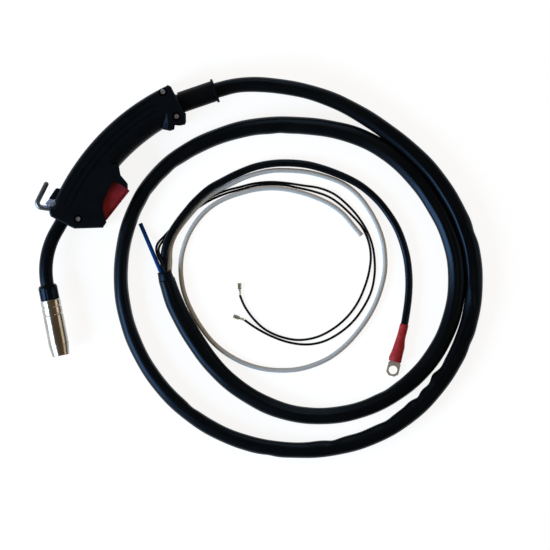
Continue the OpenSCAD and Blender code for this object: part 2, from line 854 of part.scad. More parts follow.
// ==== trigger and switch ==================================================================
module trigger() {
    module outline() {
        circle(r = eye_r);
        intersection() {
            circle(r = trigger_len);
            polygon([
                [1, -eye_r], face_foot, face_end, [14, trigger_len + 8], [8.5, trigger_len + 2.4],
                [pad_x, pad_high], [pad_x, pad_low], [-eye_r, 11], [-eye_r, 0]
            ]);
        }
    }
    heading = atan2(face_way[1], face_way[0]);
    color("#8c1c28")
        in_pin()
            difference() {
                translate([0, 0, trigger_low])
                    linear_extrude(trigger_w)
                        outline();
                translate([0, 0, trigger_low - 1])
                    cylinder(d = trigger_pin_d + 2 * slip, h = trigger_w + 2);
                for (side = [0, 1])
                    translate([face_foot[0], face_foot[1], trigger_low + side * trigger_w])
                        rotate([0, 0, heading])
                            mirror([0, 0, side])
                                rotate([45, 0, 0])
                                    translate([-20, -20 - trigger_bevel * sin(45), -20])
                                        cube([90, 20 + 2 * trigger_bevel * sin(45), 20]);
            }
}

module trigger_pin() {
    color("silver")
        in_pin()
            translate([0, 0, z_mid - pin_len / 2])
                cylinder(d = trigger_pin_d, h = pin_len);
}

module switch_body() {
    color("#202020")
        in_pin()
            difference() {
                translate([switch_face - switch_depth, switch_y, z_mid - switch_t / 2])
                    cube([switch_depth, switch_len, switch_t]);
                for (y = switch_pegs)
                    translate([switch_face - switch_depth + peg_inset, switch_y + y, 0])
                        cylinder(d = peg_d, h = thickness);
                translate([switch_face - button_hole, button_y, z_mid])
                    rotate([0, 90, 0])
                        cylinder(d = button_d + 2 * slip, h = button_hole + 1);
            }
}

module switch_button() {
    shaft = button_out - button_d / 2 + button_hole - button_stroke - 0.3;
    color("#b03030")
        in_pin()
            translate([button_tip - button_d / 2, button_y, z_mid]) {
                sphere(d = button_d);
                rotate([0, -90, 0])
                    cylinder(d = button_d, h = shaft);
            }
}

terminal_x = [1.9, 6];
terminal_len = 6;
module switch_terminals() {
    color("gold")
        in_pin()
            for (x = terminal_x)
                translate([switch_face - x - 0.3, switch_y + switch_len, z_mid - 1.4])
                    cube([0.6, terminal_len, 2.8]);
}

// ==== inside the handle ===================================================================
module connector_block() {
    color("#b08d3c")
        in_neck()
            difference() {
                union() {
                    translate([0, 0, block_front - block_len])
                        cylinder(d = block_d, h = block_len);
                    translate([-flange_reach, -flange_half, block_rear])
                        cube([2 * flange_reach, 2 * flange_half, flange_len]);
                }
                translate([0, 0, block_rear - 1])
                    cylinder(d = liner_d + 2 * slip, h = block_len + flange_len + 2);
                translate([0, 0, block_front - tube_seat])
                    cylinder(d = neck_tube_d + 2 * slip, h = tube_seat + 1);
            }
}

module gas_nipple() {
    color("#c8a850")
        in_neck()
            translate([-entry_rise, 0, block_rear - nipple_len])
                difference() {
                    union() {
                        cylinder(d = gas_d, h = nipple_len);
                        translate([0, 0, nipple_len - 3])
                            cylinder(d = gas_d + 1.8, h = 3, $fn = 6);
                    }
                    translate([0, 0, -1])
                        cylinder(d = gas_bore_d - 1, h = nipple_len + 2);
                }
}

module power_ferrule() {
    color("#b87333")
        in_neck()
            translate([entry_rise, 0, block_rear - ferrule_len])
                difference() {
                    cylinder(d = power_d + 1.5, h = ferrule_len);
                    translate([0, 0, -1])
                        cylinder(d = power_d + 2 * slip, h = ferrule_len + 2);
                }
}

module inner_power_cable() {
    color("#26262a")
        tube(smooth([
            neck_point(block_rear, -entry_rise), neck_point(block_rear - ferrule_len - 0.5, -entry_rise),
            neck_point(block_rear - ferrule_len - 8, -entry_rise),
            concat(at(16, 139), [z_mid - 7]), concat(at(16, 129), [z_mid - 6.5]),
            concat(at(17, 121), [z_mid - 4.5]), boot_point(-rear_wall, -0.9, -2.9),
            boot_point(boot_shoulder, -0.9, -2.9)
        ], 2), power_d, 8);
}

module inner_gas_hose() {
    color("#d8d8d4")
        tube(smooth([
            neck_point(block_rear - nipple_len - end_gap, entry_rise),
            neck_point(block_rear - nipple_len - 3, entry_rise),
            neck_point(block_rear - nipple_len - 6, entry_rise),
            concat(at(17.5, 138), [z_mid + 7]), concat(at(23, 128), [z_mid + 3.5]),
            concat(at(24, 120.5), [z_mid + 1.8]), boot_point(-rear_wall, 4.3, 0.8),
            boot_point(boot_shoulder, 4.3, 0.8)
        ], 2), gas_d, 8);
}

module inner_liner() {
    color("#0a50a0")
        tube(smooth([
            neck_point(block_rear + 6, 0), neck_point(block_rear - 1, 0), neck_point(block_rear - 8, 0),
            concat(at(17, 140), [z_mid]),
            concat(at(16.5, 129), [z_mid + 0.4]), concat(at(17.8, 121), [z_mid + 2.6]),
            boot_point(-rear_wall, -2, 3.6), boot_point(boot_shoulder, -2, 3.6)
        ], 2), liner_d, 8);
}

module inner_switch_wires() {
    function leave(x) =
        [pin_at[0] + switch_face - x, pin_at[1] + switch_y + switch_len + terminal_len + end_gap, z_mid];
    color("#1a1a1a") {
        tube(smooth([
            leave(terminal_x[0]), leave(terminal_x[0]) + [1, 6, -0.4], concat(at(29, 137), [z_mid - 2]),
            concat(at(28, 128), [z_mid - 1]), concat(at(25.5, 120.5), [z_mid - 1.5]),
            boot_point(-rear_wall, 4, -3.6), boot_point(boot_shoulder, 4, -3.6)
        ], 2), control_d, 8);
        tube(smooth([
            leave(terminal_x[1]), leave(terminal_x[1]) + [2, 6, 0.4], concat(at(27, 137), [z_mid + 2]),
            concat(at(24, 128), [z_mid + 8]), concat(at(22.5, 120.5), [z_mid + 6.4]),
            boot_point(-rear_wall, 1.6, 5.2), boot_point(boot_shoulder, 1.6, 5.2)
        ], 2), control_d, 8);
    }
}

// ==== neck and gas nozzle =================================================================
module neck_tube() {
    color("#b08d3c")
        neck_run(neck_tube_d, neck_bore_d, block_front - tube_seat, holder_start);
}

module neck_sleeve() {
    color(black)
        difference() {
            neck_run(neck_d, neck_tube_d + 2 * slip, block_front, eps);
            in_front()
                cylinder(d = neck_d + 4, h = 4);
        }
}

module insulating_collar() {
    color("#1b1b1d")
        in_front()
            difference() {
                union() {
                    cylinder(d1 = collar_d - 3, d2 = collar_d - 1, h = 1.2);
                    translate([0, 0, 1.2])
                        cylinder(d1 = collar_d - 1, d2 = collar_d, h = 1.8);
                    translate([0, 0, 3])
                        cylinder(d = collar_d, h = collar_len - 3);
                    translate([0, 0, collar_len])
                        cylinder(r = spigot_r, h = spigot_end - collar_len);
                }
                translate([0, 0, -1])
                    cylinder(r = holder_r + slip, h = spigot_end + 2);
                for (i = [0 : collar_flutes - 1])
                    rotate([0, 0, 360 * (i + 0.5) / collar_flutes])
                        translate([collar_d / 2 + 0.3, 0, 4.2])
                            cylinder(r = flute_r, h = collar_len - 4.2 + eps, $fn = 24);
                translate([0, 0, ring_station - ring_wire / 2 - slip])
                    difference() {
                        cylinder(r = spigot_r + 1, h = ring_wire + 2 * slip);
                        translate([0, 0, -1])
                            cylinder(r = nozzle_bore_r - 2 * slip - ring_wire - 0.1, h = 4);
                    }
            }
}

module retaining_ring() {
    color("silver")
        in_front()
            translate([0, 0, ring_station])
                rotate_extrude(angle = 325)
                    translate([nozzle_bore_r - 2 * slip - ring_wire / 2, 0])
                        circle(d = ring_wire, $fn = 16);
}

module tip_holder() {
    color("#c09a48")
        in_front()
            difference() {
                union() {
                    translate([0, 0, holder_start])
                        cylinder(r = holder_r, h = spigot_end + clearance - holder_start);
                    translate([0, 0, spigot_end + clearance])
                        cylinder(r = holder_head_r, h = holder_end - spigot_end - clearance);
                }
                translate([0, 0, holder_start - 1])
                    cylinder(d = neck_bore_d, h = holder_end - thread_len - holder_start + 1);
                translate([0, 0, holder_end - thread_len - 0.3])
                    cylinder(d = thread_d + 2 * slip, h = thread_len + 2);
                for (i = [0 : 1])
                    translate([0, 0, spigot_end + 3])
                        rotate([0, 0, 90 * i + 45])
                            rotate([0, 90, 0])
                                translate([0, 0, -10])
                                    cylinder(d = gas_hole_d, h = 20, $fn = 32);
            }
}

module contact_tip() {
    taper = 6.5;
    color("#b8733c")
        in_front()
            difference() {
                union() {
                    translate([0, 0, holder_end - thread_len])
                        cylinder(d = thread_d, h = thread_len + eps);
                    translate([0, 0, holder_end])
                        cylinder(d = tip_d, h = tip_end - taper - holder_end);
                    translate([0, 0, tip_end - taper])
                        cylinder(d1 = tip_d, d2 = tip_d - 3, h = taper);
                }
                translate([0, 0, holder_end - thread_len - 1])
                    cylinder(d = wire_bore_d, h = tip_end, $fn = 32);
            }
}

// Turned in one piece: two grooves round its root and a drawn-in mouth
module gas_nozzle() {
    r = nozzle_d / 2;
    mouth = nozzle_mouth_d / 2;
    bore = nozzle_bore_r;
    taper = nozzle_len - 12;
    color("#c8ccd0")
        in_front()
            translate([0, 0, collar_len + clearance])
                rotate_extrude($fn = 96)
                    polygon([
                        [bore, 0], [r - 0.5, 0], [r, 0.5], [r, 5.6], [r - 0.4, 6], [r - 0.4, 7],
                        [r, 7.4], [r, 13.4], [r - 0.4, 13.8], [r - 0.4, 14.8], [r - 0.1, 15.2],
                        [r, 16], [r, taper], [mouth, nozzle_len - 0.4], [mouth - 0.4, nozzle_len],
                        [mouth - nozzle_wall + 0.3, nozzle_len], [bore, taper + 2]
                    ]);
}

// ==== hose assembly =======================================================================
module strain_relief() {
    inner = boot_neck_r - clearance;
    color("#17181a")
        in_boot()
            difference() {
                union() {
                    translate([0, 0, -rear_wall])
                        cylinder(r = boot_neck_r, h = rear_wall + 0.6);
                    translate([0, 0, -rear_wall / 2 - boot_flange_t / 2])
                        cylinder(r = boot_flange_r, h = boot_flange_t);
                    translate([0, 0, 0.6])
                        cylinder(d = boot_d, h = boot_len - 3);
                    translate([0, 0, boot_len - 2.5])
                        cylinder(d = boot_d + 3.2, h = 2.5);
                }
                translate([0, 0, -rear_wall - 1])
                    cylinder(r = inner - 1.7, h = boot_shoulder + rear_wall + 1 + eps);
                translate([0, 0, boot_shoulder])
                    cylinder(d = sheath_d + 2 * slip, h = boot_len);
            }
}

module hose_sheath() {
    color("#141518")
        tube(sheath_line, sheath_d, 12);
}

module sheath_inner_sleeve() {
    heading = atan2(end_way[1], end_way[0]);
    color("#101114")
        along(sheath_end[0], sheath_end[1], sheath_end[2], heading)
            difference() {
                cylinder(d = sleeve_d, h = sleeve_len);
                translate([0, 0, -1])
                    cylinder(d = sleeve_bore_d, h = sleeve_len + 2);
            }
}

module power_cable() {
    color("#1a1a1c")
        tube(power_route, power_d, 8);
}

module in_lug() {
    along(lug_at[0], lug_at[1], lug_axis_z, lug_heading)
        children();
}

// Shrunk over the cable's end and the lug's barrel, wide and flat at the lug
module lug_sleeve() {
    color("#a02430")
        difference() {
            in_lug()
                hull() {
                    cylinder(d = power_d + 1.2, h = 1, $fn = 32);
                    for (side = [-1, 1])
                        translate([0.4, side * (lug_w / 2 - 4.1), lug_sleeve_len - 1])
                            cylinder(d = 8.2, h = 1, $fn = 32);
                }
            in_lug() {
                translate([0, 0, -1])
                    cylinder(d = power_d + 2 * slip, h = lug_sleeve_len);
                translate([0, 0, cable_in_sleeve])
                    cylinder(d = barrel_d + 2 * slip, h = lug_sleeve_len);
                translate([lug_axis_z - 0.8 - lug_t - slip, -lug_w / 2 + 0.9, cable_in_sleeve + barrel_len - 3])
                    cube([lug_t + 2 * slip, lug_w - 1.8, 20]);
            }
        }
}

module cable_lug() {
    palm_z = 0.8;
    start = cable_in_sleeve + barrel_len - 2;
    stop = lug_hole_at + lug_w / 2;
    // Edges of the plate: in the sleeve, outside it, and where its corners are cut
    half = lug_w / 2;
    root_half = half - 1.1;
    shoulder = lug_sleeve_len + 0.3;
    corner = [3, 3.4];
    color("#a8a68c")
        in_lug()
            difference() {
                union() {
                    translate([0, 0, cable_in_sleeve])
                        cylinder(d = barrel_d, h = barrel_len);
                    translate([lug_axis_z - palm_z - lug_t, 0, 0])
                        rotate([0, 90, 0])
                            linear_extrude(lug_t)
                                polygon([
                                    [-start, -root_half], [-shoulder, -root_half], [-shoulder - 1.1, -half],
                                    [-stop + corner[0], -half], [-stop, -half + corner[1]],
                                    [-stop, half - corner[1]], [-stop + corner[0], half],
                                    [-shoulder - 1.1, half], [-shoulder, root_half], [-start, root_half]
                                ]);
                }
                translate([0, 0, lug_hole_at])
                    rotate([0, 90, 0])
                        cylinder(d = lug_hole_d, h = 20, center = true);
            }
}

// The last stretch is straight, where the hose pushes on to its spigot
module gas_hose() {
    tail = gas_route[len(gas_route) - 1];
    color("#d8d8d2")
        difference() {
            union() {
                tube(gas_route, gas_d, 8);
                along(tail[0], tail[1], gas_low, hose_heading)
                    cylinder(d = gas_d, h = hose_straight);
            }
            along(tail[0], tail[1], gas_low, hose_heading)
                translate([0, 0, 1])
                    cylinder(d = gas_bore_d, h = hose_straight);
        }
}

module wire_liner() {
    run = liner_tip - liner_foot;
    color("#0a50a0")
        translate(liner_foot)
            rotate([0, acos(run[2] / norm(run)), atan2(run[1], run[0])])
                difference() {
                    cylinder(d = liner_d, h = norm(run));
                    translate([0, 0, 1])
                        cylinder(d = liner_bore_d, h = norm(run), $fn = 48);
                }
}

module control_wire_long() {
    color("#161616")
        tube(smooth(long_wire_route, 2), control_d, 8);
}

module control_wire_short() {
    color("#161616")
        tube(smooth(short_wire_route, 2), control_d, 8);
}

// Female push-on terminal: crimp barrel, neck and a rolled receptacle
module spade_terminal() {
    crimp = 4;
    neck = 1.6;
    box_len = 6.3;
    box_w = 3.8;
    sheet = 0.35;
    roll_w = 1.1;
    roll_h = 1.9;
    floor_z = -control_d / 2 - sheet;
    translate([end_gap, 0, 0])
        rotate([0, 90, 0])
            cylinder(d = control_d + 2 * sheet, h = crimp - end_gap, $fn = 32);
    translate([crimp - 0.5, -1, floor_z])
        cube([neck + 1, 2, sheet + 0.2]);
    translate([crimp + neck, -box_w / 2, floor_z])
        cube([box_len, box_w, sheet]);
    for (side = [-1, 1])
        translate([crimp + neck, side * (box_w - roll_w) / 2 - roll_w / 2, floor_z])
            difference() {
                cube([box_len, roll_w, roll_h]);
                translate([-1, side > 0 ? -1 : sheet, sheet])
                    cube([box_len + 2, roll_w + 1 - sheet, roll_h - 2 * sheet]);
            }
}

module spade_terminal_long() {
    color("silver")
        translate([long_terminal[0], long_terminal[1], wire_low + 0.35])
            rotate([0, 0, long_terminal[2]])
                spade_terminal();
}

module spade_terminal_short() {
    color("silver")
        translate([short_terminal[0], short_terminal[1], wire_low + 0.35])
            rotate([0, 0, short_terminal[2]])
                spade_terminal();
}

handle_shell_bottom();
handle_shell_top();
shell_screws();
hanging_hook();
hook_clamp_block();
hook_set_screw();
trigger();
trigger_pin();
switch_body();
switch_button();
switch_terminals();
connector_block();
gas_nipple();
power_ferrule();
neck_tube();
neck_sleeve();
insulating_collar();
retaining_ring();
tip_holder();
contact_tip();
gas_nozzle();
strain_relief();
inner_power_cable();
inner_gas_hose();
inner_liner();
inner_switch_wires();
hose_sheath();
sheath_inner_sleeve();
power_cable();
lug_sleeve();
cable_lug();
gas_hose();
wire_liner();
control_wire_long();
control_wire_short();
spade_terminal_long();
spade_terminal_short();
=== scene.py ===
import math

import bpy
import numpy as np
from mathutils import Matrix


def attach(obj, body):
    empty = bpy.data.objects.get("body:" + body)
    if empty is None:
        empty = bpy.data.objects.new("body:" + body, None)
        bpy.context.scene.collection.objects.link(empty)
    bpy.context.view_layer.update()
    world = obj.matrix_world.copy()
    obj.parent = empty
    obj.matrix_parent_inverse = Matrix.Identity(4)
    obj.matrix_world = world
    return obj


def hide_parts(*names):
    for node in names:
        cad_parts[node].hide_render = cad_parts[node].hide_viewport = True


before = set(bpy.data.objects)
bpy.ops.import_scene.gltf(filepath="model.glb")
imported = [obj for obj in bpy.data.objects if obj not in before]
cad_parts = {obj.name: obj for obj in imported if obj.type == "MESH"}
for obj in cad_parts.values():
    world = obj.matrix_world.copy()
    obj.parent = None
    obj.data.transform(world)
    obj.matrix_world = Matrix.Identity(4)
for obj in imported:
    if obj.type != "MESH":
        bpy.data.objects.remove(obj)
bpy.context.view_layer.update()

# ---- Table, lamps and camera -----------------------------------------------------------------
# The torch lies on its side on a pale table, with its hose in two turns beside it.
# A wide cool lamp stands low on the left, and two weaker warm ones at the back and on the right.
# The camera is straight above.
MM = 0.001
table_half = 4
table_top = -0.0002
view_wide = 550 * MM
view_middle = (147 * MM, -57 * MM)
view_height = 1.5


def new_nodes(name):
    """A material with an empty node tree, its nodes and its links."""
    made = bpy.data.materials.new(name)
    made.use_nodes = True
    made.node_tree.nodes.clear()
    return made, made.node_tree.nodes, made.node_tree.links


def largest(nodes, links, *values):
    """The largest of the sockets' values."""
    top = values[0]
    for value in values[1:]:
        higher = nodes.new("ShaderNodeMath")
        higher.operation = "MAXIMUM"
        links.new(top, higher.inputs[0])
        links.new(value, higher.inputs[1])
        top = higher.outputs[0]
    return top


# White with its shadows to the eye and in metal, and a plain pale grey to all other light
table_paper, nodes, links = new_nodes("table_paper")
paper = nodes.new("ShaderNodeBsdfDiffuse")
paper.inputs["Color"].default_value = (0.3, 0.3, 0.3, 1)
glow = nodes.new("ShaderNodeEmission")
glow.inputs["Color"].default_value = (1, 1, 1, 1)
glow.inputs["Strength"].default_value = 0.88
seen = nodes.new("ShaderNodeAddShader")
bounced = nodes.new("ShaderNodeBsdfDiffuse")
bounced.inputs["Color"].default_value = (0.75, 0.75, 0.75, 1)
rays = nodes.new("ShaderNodeLightPath")
shown = largest(nodes, links, rays.outputs["Is Camera Ray"], rays.outputs["Is Glossy Ray"],
                rays.outputs["Is Transmission Ray"])
pick = nodes.new("ShaderNodeMixShader")
table_out = nodes.new("ShaderNodeOutputMaterial")
links.new(paper.outputs[0], seen.inputs[0])
links.new(glow.outputs[0], seen.inputs[1])
links.new(shown, pick.inputs[0])
links.new(bounced.outputs[0], pick.inputs[1])
links.new(seen.outputs[0], pick.inputs[2])
links.new(pick.outputs[0], table_out.inputs[0])

table_corners = [(x * table_half, y * table_half, table_top) for x, y in ((-1, -1), (1, -1), (1, 1), (-1, 1))]
table_mesh = bpy.data.meshes.new("table")
table_mesh.from_pydata(table_corners, [], [(0, 1, 2, 3)])
table = bpy.data.objects.new("table", table_mesh)
bpy.context.scene.collection.objects.link(table)
table_mesh.materials.append(table_paper)

# A dim warm room to all light, and white where the eye looks past the table
room = bpy.data.worlds.new("room")
bpy.context.scene.world = room
room.use_nodes = True
nodes, links = room.node_tree.nodes, room.node_tree.links
nodes.clear()
air = nodes.new("ShaderNodeBackground")
air.inputs["Color"].default_value = (1, 0.7, 0.44, 1)
air.inputs["Strength"].default_value = 0.13
white = nodes.new("ShaderNodeBackground")
white.inputs["Color"].default_value = (1, 1, 1, 1)
rays = nodes.new("ShaderNodeLightPath")
pick = nodes.new("ShaderNodeMixShader")
room_out = nodes.new("ShaderNodeOutputWorld")
links.new(rays.outputs["Is Camera Ray"], pick.inputs[0])
links.new(air.outputs[0], pick.inputs[1])
links.new(white.outputs[0], pick.inputs[2])
links.new(pick.outputs[0], room_out.inputs[0])


def soft_lamp(name, place, aim, size, power, colour):
    """A square lamp at place that faces aim: it tilts by arccos(how steeply its way drops) and turns to the
    way's heading less 90 degrees."""
    data = bpy.data.lights.new(name, "AREA")
    data.shape = "SQUARE"
    data.size = size
    data.energy = power
    data.color = colour
    lamp = bpy.data.objects.new(name, data)
    bpy.context.scene.collection.objects.link(lamp)
    way = np.array(aim) - np.array(place)
    tilt = math.acos(-way[2] / np.linalg.norm(way))
    turn = math.atan2(way[1], way[0]) - math.pi / 2
    lamp.location = place
    lamp.rotation_euler = (tilt, 0, turn)


soft_lamp("window", place=(-1.14, -0.58, 0.56), aim=(0.1, -0.05, 0), size=0.9, power=30,
          colour=(0.52, 0.74, 1))
soft_lamp("back_lamp", place=(0.3, 1.3, 0.75), aim=(0.15, -0.05, 0), size=0.8, power=3.5,
          colour=(1, 0.93, 0.84))
soft_lamp("side_lamp", place=(1.35, 0.1, 0.7), aim=(0.15, -0.05, 0), size=0.7, power=2,
          colour=(1, 0.86, 0.66))

camera = bpy.data.cameras.new("camera")
camera.type = "ORTHO"
camera.ortho_scale = view_wide
camera.clip_end = 20
eye = bpy.data.objects.new("eye", camera)
eye.location = (*view_middle, view_height)
bpy.context.scene.collection.objects.link(eye)
bpy.context.scene.camera = eye
bpy.context.scene.view_settings.view_transform = "Standard"

# ---- Hose sheath -----------------------------------------------------------------------------
# A soft black rubber sleeve drawn over the cable, the gas hose, the liner and the control wires, and held
# in the strain relief. It follows their ridges, flattens where it lies loose and buckles along its bends.


def blend4(p0, p1, p2, p3, t):
    """A smooth curve from p1 to p2, with t from 0 to 1: half of
    2 p1 + (p2 - p0) t + (2 p0 - 5 p1 + 4 p2 - p3) t^2 + (3 p1 - p0 - 3 p2 + p3) t^3"""
    curve = 2 * p1 + (p2 - p0) * t
    curve = curve + (2 * p0 - 5 * p1 + 4 * p2 - p3) * t ** 2
    curve = curve + (3 * p1 - p0 - 3 * p2 + p3) * t ** 3
    return 0.5 * curve


def smooth_line(route, steps):
    """Points of a smooth curve through a route, with so many steps to each span: blend4 of the four points
    about the span, where the route's first and last points count twice."""
    route = np.asarray(route, float)
    n = len(route)
    at = np.arange((n - 1) * steps + 1) / steps
    i = np.minimum(at.astype(int), n - 2)
    t = (at - i)[:, None]
    return blend4(route[np.maximum(i - 1, 0)], route[i], route[i + 1], route[np.minimum(i + 2, n - 1)], t)


def run_of(line):
    """Distance along a line to each of its points: the sum of the spans before it."""
    return np.concatenate([[0], np.cumsum(np.linalg.norm(np.diff(line, axis=0), axis=1))])


def even(line, step):
    """The same line with its points an even step apart, each read off between the old ones."""
    run = run_of(line)
    want = np.linspace(0, run[-1], max(2, int(round(run[-1] / step)) + 1))
    return np.stack([np.interp(want, run, line[:, k]) for k in range(3)], axis=1)


def frames_of(line):
    """At each point of a line: its way, across = z x way, and up = way x across."""
    way = np.gradient(line, axis=0)
    way /= np.linalg.norm(way, axis=1)[:, None]
    across = np.cross([0, 0, 1], way)
    across /= np.linalg.norm(across, axis=1)[:, None]
    return way, across, np.cross(way, across)


def grid_piece(name, grid, uv=None):
    """A closed-round surface from rows of points that run anticlockwise about their way, with a flat cap
    at each end. The uv holds one column more than the grid, so that its seam closes."""
    rows, cols = grid.shape[:2]
    r, c = np.meshgrid(np.arange(rows - 1), np.arange(cols), indexing="ij")
    d = (c + 1) % cols
    corners = [r * cols + c, r * cols + d, (r + 1) * cols + d, (r + 1) * cols + c]
    quads = np.stack(corners, axis=-1).reshape(-1, 4)
    ends = [list(range(cols - 1, -1, -1)), list(range((rows - 1) * cols, rows * cols))]
    mesh = bpy.data.meshes.new(name)
    mesh.from_pydata(grid.reshape(-1, 3).tolist(), [], quads.tolist() + ends)
    rounded = np.ones(len(mesh.polygons), bool)
    rounded[len(quads):] = False
    mesh.polygons.foreach_set("use_smooth", rounded)
    if uv is not None:
        u, v = uv
        wide = np.stack([u[r, c], u[r, c + 1], u[r + 1, c + 1], u[r + 1, c]], axis=-1)
        tall = np.stack([v[r, c], v[r, c], v[r + 1, c], v[r + 1, c]], axis=-1)
        loops = np.zeros((len(mesh.loops), 2), np.float32)
        loops[: wide.size, 0] = wide.reshape(-1)
        loops[: tall.size, 1] = tall.reshape(-1)
        layer = mesh.uv_layers.new(name="along")
        layer.uv.foreach_set("vector", loops.reshape(-1))
    piece = bpy.data.objects.new(name, mesh)
    bpy.context.scene.collection.objects.link(piece)
    return piece


def round_angles(sides):
    """Angles round a tube, from its underside: -pi / 2 + 2 pi k / sides"""
    return -math.pi / 2 + 2 * math.pi * np.arange(sides) / sides


def rings(line, wide, tall, across, up):
    """A ring of points at each point of a line: place + wide across + tall up"""
    return line[:, None, :] + wide[..., None] * across + tall[..., None] * up


def tube_uv(girth, run, sides):
    """A tube's own map in metres: u = girth k / sides round it, v = run along it"""
    u = np.broadcast_to(girth * np.arange(sides + 1) / sides, (len(run), sides + 1))
    v = np.broadcast_to(run[:, None], (len(run), sides + 1))
    return u, v


least_height = 0.1 * MM


def tube_piece(name, line, across_r, up_r, sides, push=None):
    """A tube: point = centre + across_r cos(a) across + up_r sin(a) up, with push(run, a) added outwards
    and no point lower than the least height over the table."""
    _, across, up = frames_of(line)
    run = run_of(line)
    a = round_angles(sides)
    wide = np.broadcast_to(across_r, run.shape)[:, None] * np.cos(a)
    tall = np.broadcast_to(up_r, run.shape)[:, None] * np.sin(a)
    if push is not None:
        out = push(run[:, None], a[None, :])
        wide = wide + out * np.cos(a)
        tall = tall + out * np.sin(a)
    grid = rings(line, wide, tall, across[:, None, :], up[:, None, :])
    grid[..., 2] = np.maximum(grid[..., 2], least_height)
    girth = 2 * math.pi * float(np.mean(across_r))
    return grid_piece(name, grid, tube_uv(girth, run, sides))


edge_samples = 4
face_lean = 0.985
edge_lean = 0.86


def tone_edges(nodes, links, under, over, radius, grain, bump):
    """Rounds a material's edges in the light and colours them: the edge share = how far the rounded normal
    leans from the face's own, from the face's to the edge's lean cosine, times the grain. Gives the colour,
    under on the faces and over on the edges. Over is a painted edge colour, and painted shade where it is
    darker than under."""
    softened = nodes.new("ShaderNodeBevel")
    softened.samples = edge_samples
    softened.inputs["Radius"].default_value = radius
    face = nodes.new("ShaderNodeNewGeometry")
    lean = nodes.new("ShaderNodeVectorMath")
    lean.operation = "DOT_PRODUCT"
    at_edge = nodes.new("ShaderNodeMapRange")
    at_edge.inputs["From Min"].default_value = face_lean
    at_edge.inputs["From Max"].default_value = edge_lean
    edge_share = nodes.new("ShaderNodeMath")
    edge_share.operation = "MULTIPLY"
    # Over, the edge colour, is painted on; where it is darker than under, it is painted shade along the
    # edges.
    edge_colour = nodes.new("ShaderNodeMix")
    edge_colour.data_type = "RGBA"
    edge_colour.inputs["B"].default_value = (*over, 1)
    links.new(softened.outputs[0], lean.inputs[0])
    links.new(face.outputs["Normal"], lean.inputs[1])
    links.new(lean.outputs["Value"], at_edge.inputs["Value"])
    links.new(at_edge.outputs[0], edge_share.inputs[0])
    links.new(grain, edge_share.inputs[1])
    links.new(edge_share.outputs[0], edge_colour.inputs["Factor"])
    links.new(under, edge_colour.inputs["A"])
    links.new(softened.outputs[0], bump.inputs["Normal"])
    return edge_colour.outputs["Result"]


def moulded(name, dark, pale, rough, grain, depth, patch, sheen=0.5, on_uv=False, stretch=(1, 1, 1),
            edge=0.0, edge_colour=(0.03, 0.03, 0.033), bloom=(1, 1, 1)):
    """A plastic or rubber: colour = dark to pale by a noise as wide as patch, gloss = rough by the mean of
    that noise and one as wide as grain, surface = the fine noise times depth. Bloom is the sheen's own tint.
    With an edge radius, its edges are rounded in the light and painted a third colour, the edge colour, which
    is painted shade where it is darker than the moulding's own colour."""
    made, nodes, links = new_nodes(name)
    place = nodes.new("ShaderNodeTexCoord")
    turn = nodes.new("ShaderNodeMapping")
    turn.inputs["Scale"].default_value = stretch
    cloudy = nodes.new("ShaderNodeTexNoise")
    cloudy.inputs["Scale"].default_value = 1 / patch
    cloudy.inputs["Detail"].default_value = 4
    fine = nodes.new("ShaderNodeTexNoise")
    fine.inputs["Scale"].default_value = 1 / grain
    fine.inputs["Detail"].default_value = 3
    tint = nodes.new("ShaderNodeMix")
    tint.data_type = "RGBA"
    tint.inputs["A"].default_value = (*dark, 1)
    tint.inputs["B"].default_value = (*pale, 1)
    spread = nodes.new("ShaderNodeMapRange")
    spread.inputs["From Min"].default_value = 0.35
    spread.inputs["From Max"].default_value = 0.68
    gloss = nodes.new("ShaderNodeMapRange")
    gloss.inputs["To Min"].default_value = rough[0]
    gloss.inputs["To Max"].default_value = rough[1]
    blended = nodes.new("ShaderNodeMath")
    blended.operation = "ADD"
    half = nodes.new("ShaderNodeMath")
    half.operation = "MULTIPLY"
    half.inputs[1].default_value = 0.5
    bump = nodes.new("ShaderNodeBump")
    bump.inputs["Distance"].default_value = depth
    bump.inputs["Strength"].default_value = 1
    skin = nodes.new("ShaderNodeBsdfPrincipled")
    skin.inputs["Specular IOR Level"].default_value = sheen
    skin.inputs["Specular Tint"].default_value = (*bloom, 1)
    out = nodes.new("ShaderNodeOutputMaterial")
    links.new(place.outputs["UV" if on_uv else "Object"], turn.inputs["Vector"])
    links.new(turn.outputs[0], cloudy.inputs["Vector"])
    links.new(turn.outputs[0], fine.inputs["Vector"])
    links.new(cloudy.outputs["Fac"], spread.inputs["Value"])
    links.new(spread.outputs[0], tint.inputs["Factor"])
    if edge:
        colour = tone_edges(nodes, links, tint.outputs["Result"], edge_colour, edge, fine.outputs["Fac"], bump)
    else:
        colour = tint.outputs["Result"]
    links.new(colour, skin.inputs["Base Color"])
    links.new(cloudy.outputs["Fac"], blended.inputs[0])
    links.new(fine.outputs["Fac"], blended.inputs[1])
    links.new(blended.outputs[0], half.inputs[0])
    links.new(half.outputs[0], gloss.inputs["Value"])
    links.new(gloss.outputs[0], skin.inputs["Roughness"])
    links.new(fine.outputs["Fac"], bump.inputs["Height"])
    links.new(bump.outputs[0], skin.inputs["Normal"])
    links.new(skin.outputs[0], out.inputs["Surface"])
    return made


# Sizes in mm and angles in degrees: the boot's root in the handle and its way out, and the coil's middle,
# its ends, and where the sheath has come down from the boot to the table
sheath_r = 8
boot_root = np.array([51.6878, 115.163, 16.0])
boot_turn = math.radians(18.9)
boot_way = np.array([math.cos(boot_turn), math.sin(boot_turn), 0])
coil_centre = np.array([172, -52])
coil_start = 100
coil_end = -536
lifted_at = 108
landed_at = 66
# The coil's radii, one for each step clockwise from the first angle
radii_from = 120
radii_step = 30
coil_radii = np.array([
    202, 180.3, 164, 165.6, 174.2, 178.5, 181.4, 180.2, 181.2, 180.6, 178.9, 173.2,
    155.8, 144.5, 146.2, 148.6, 157, 158.9, 154.2, 144.9, 132.7, 126.4, 135.5, 150])


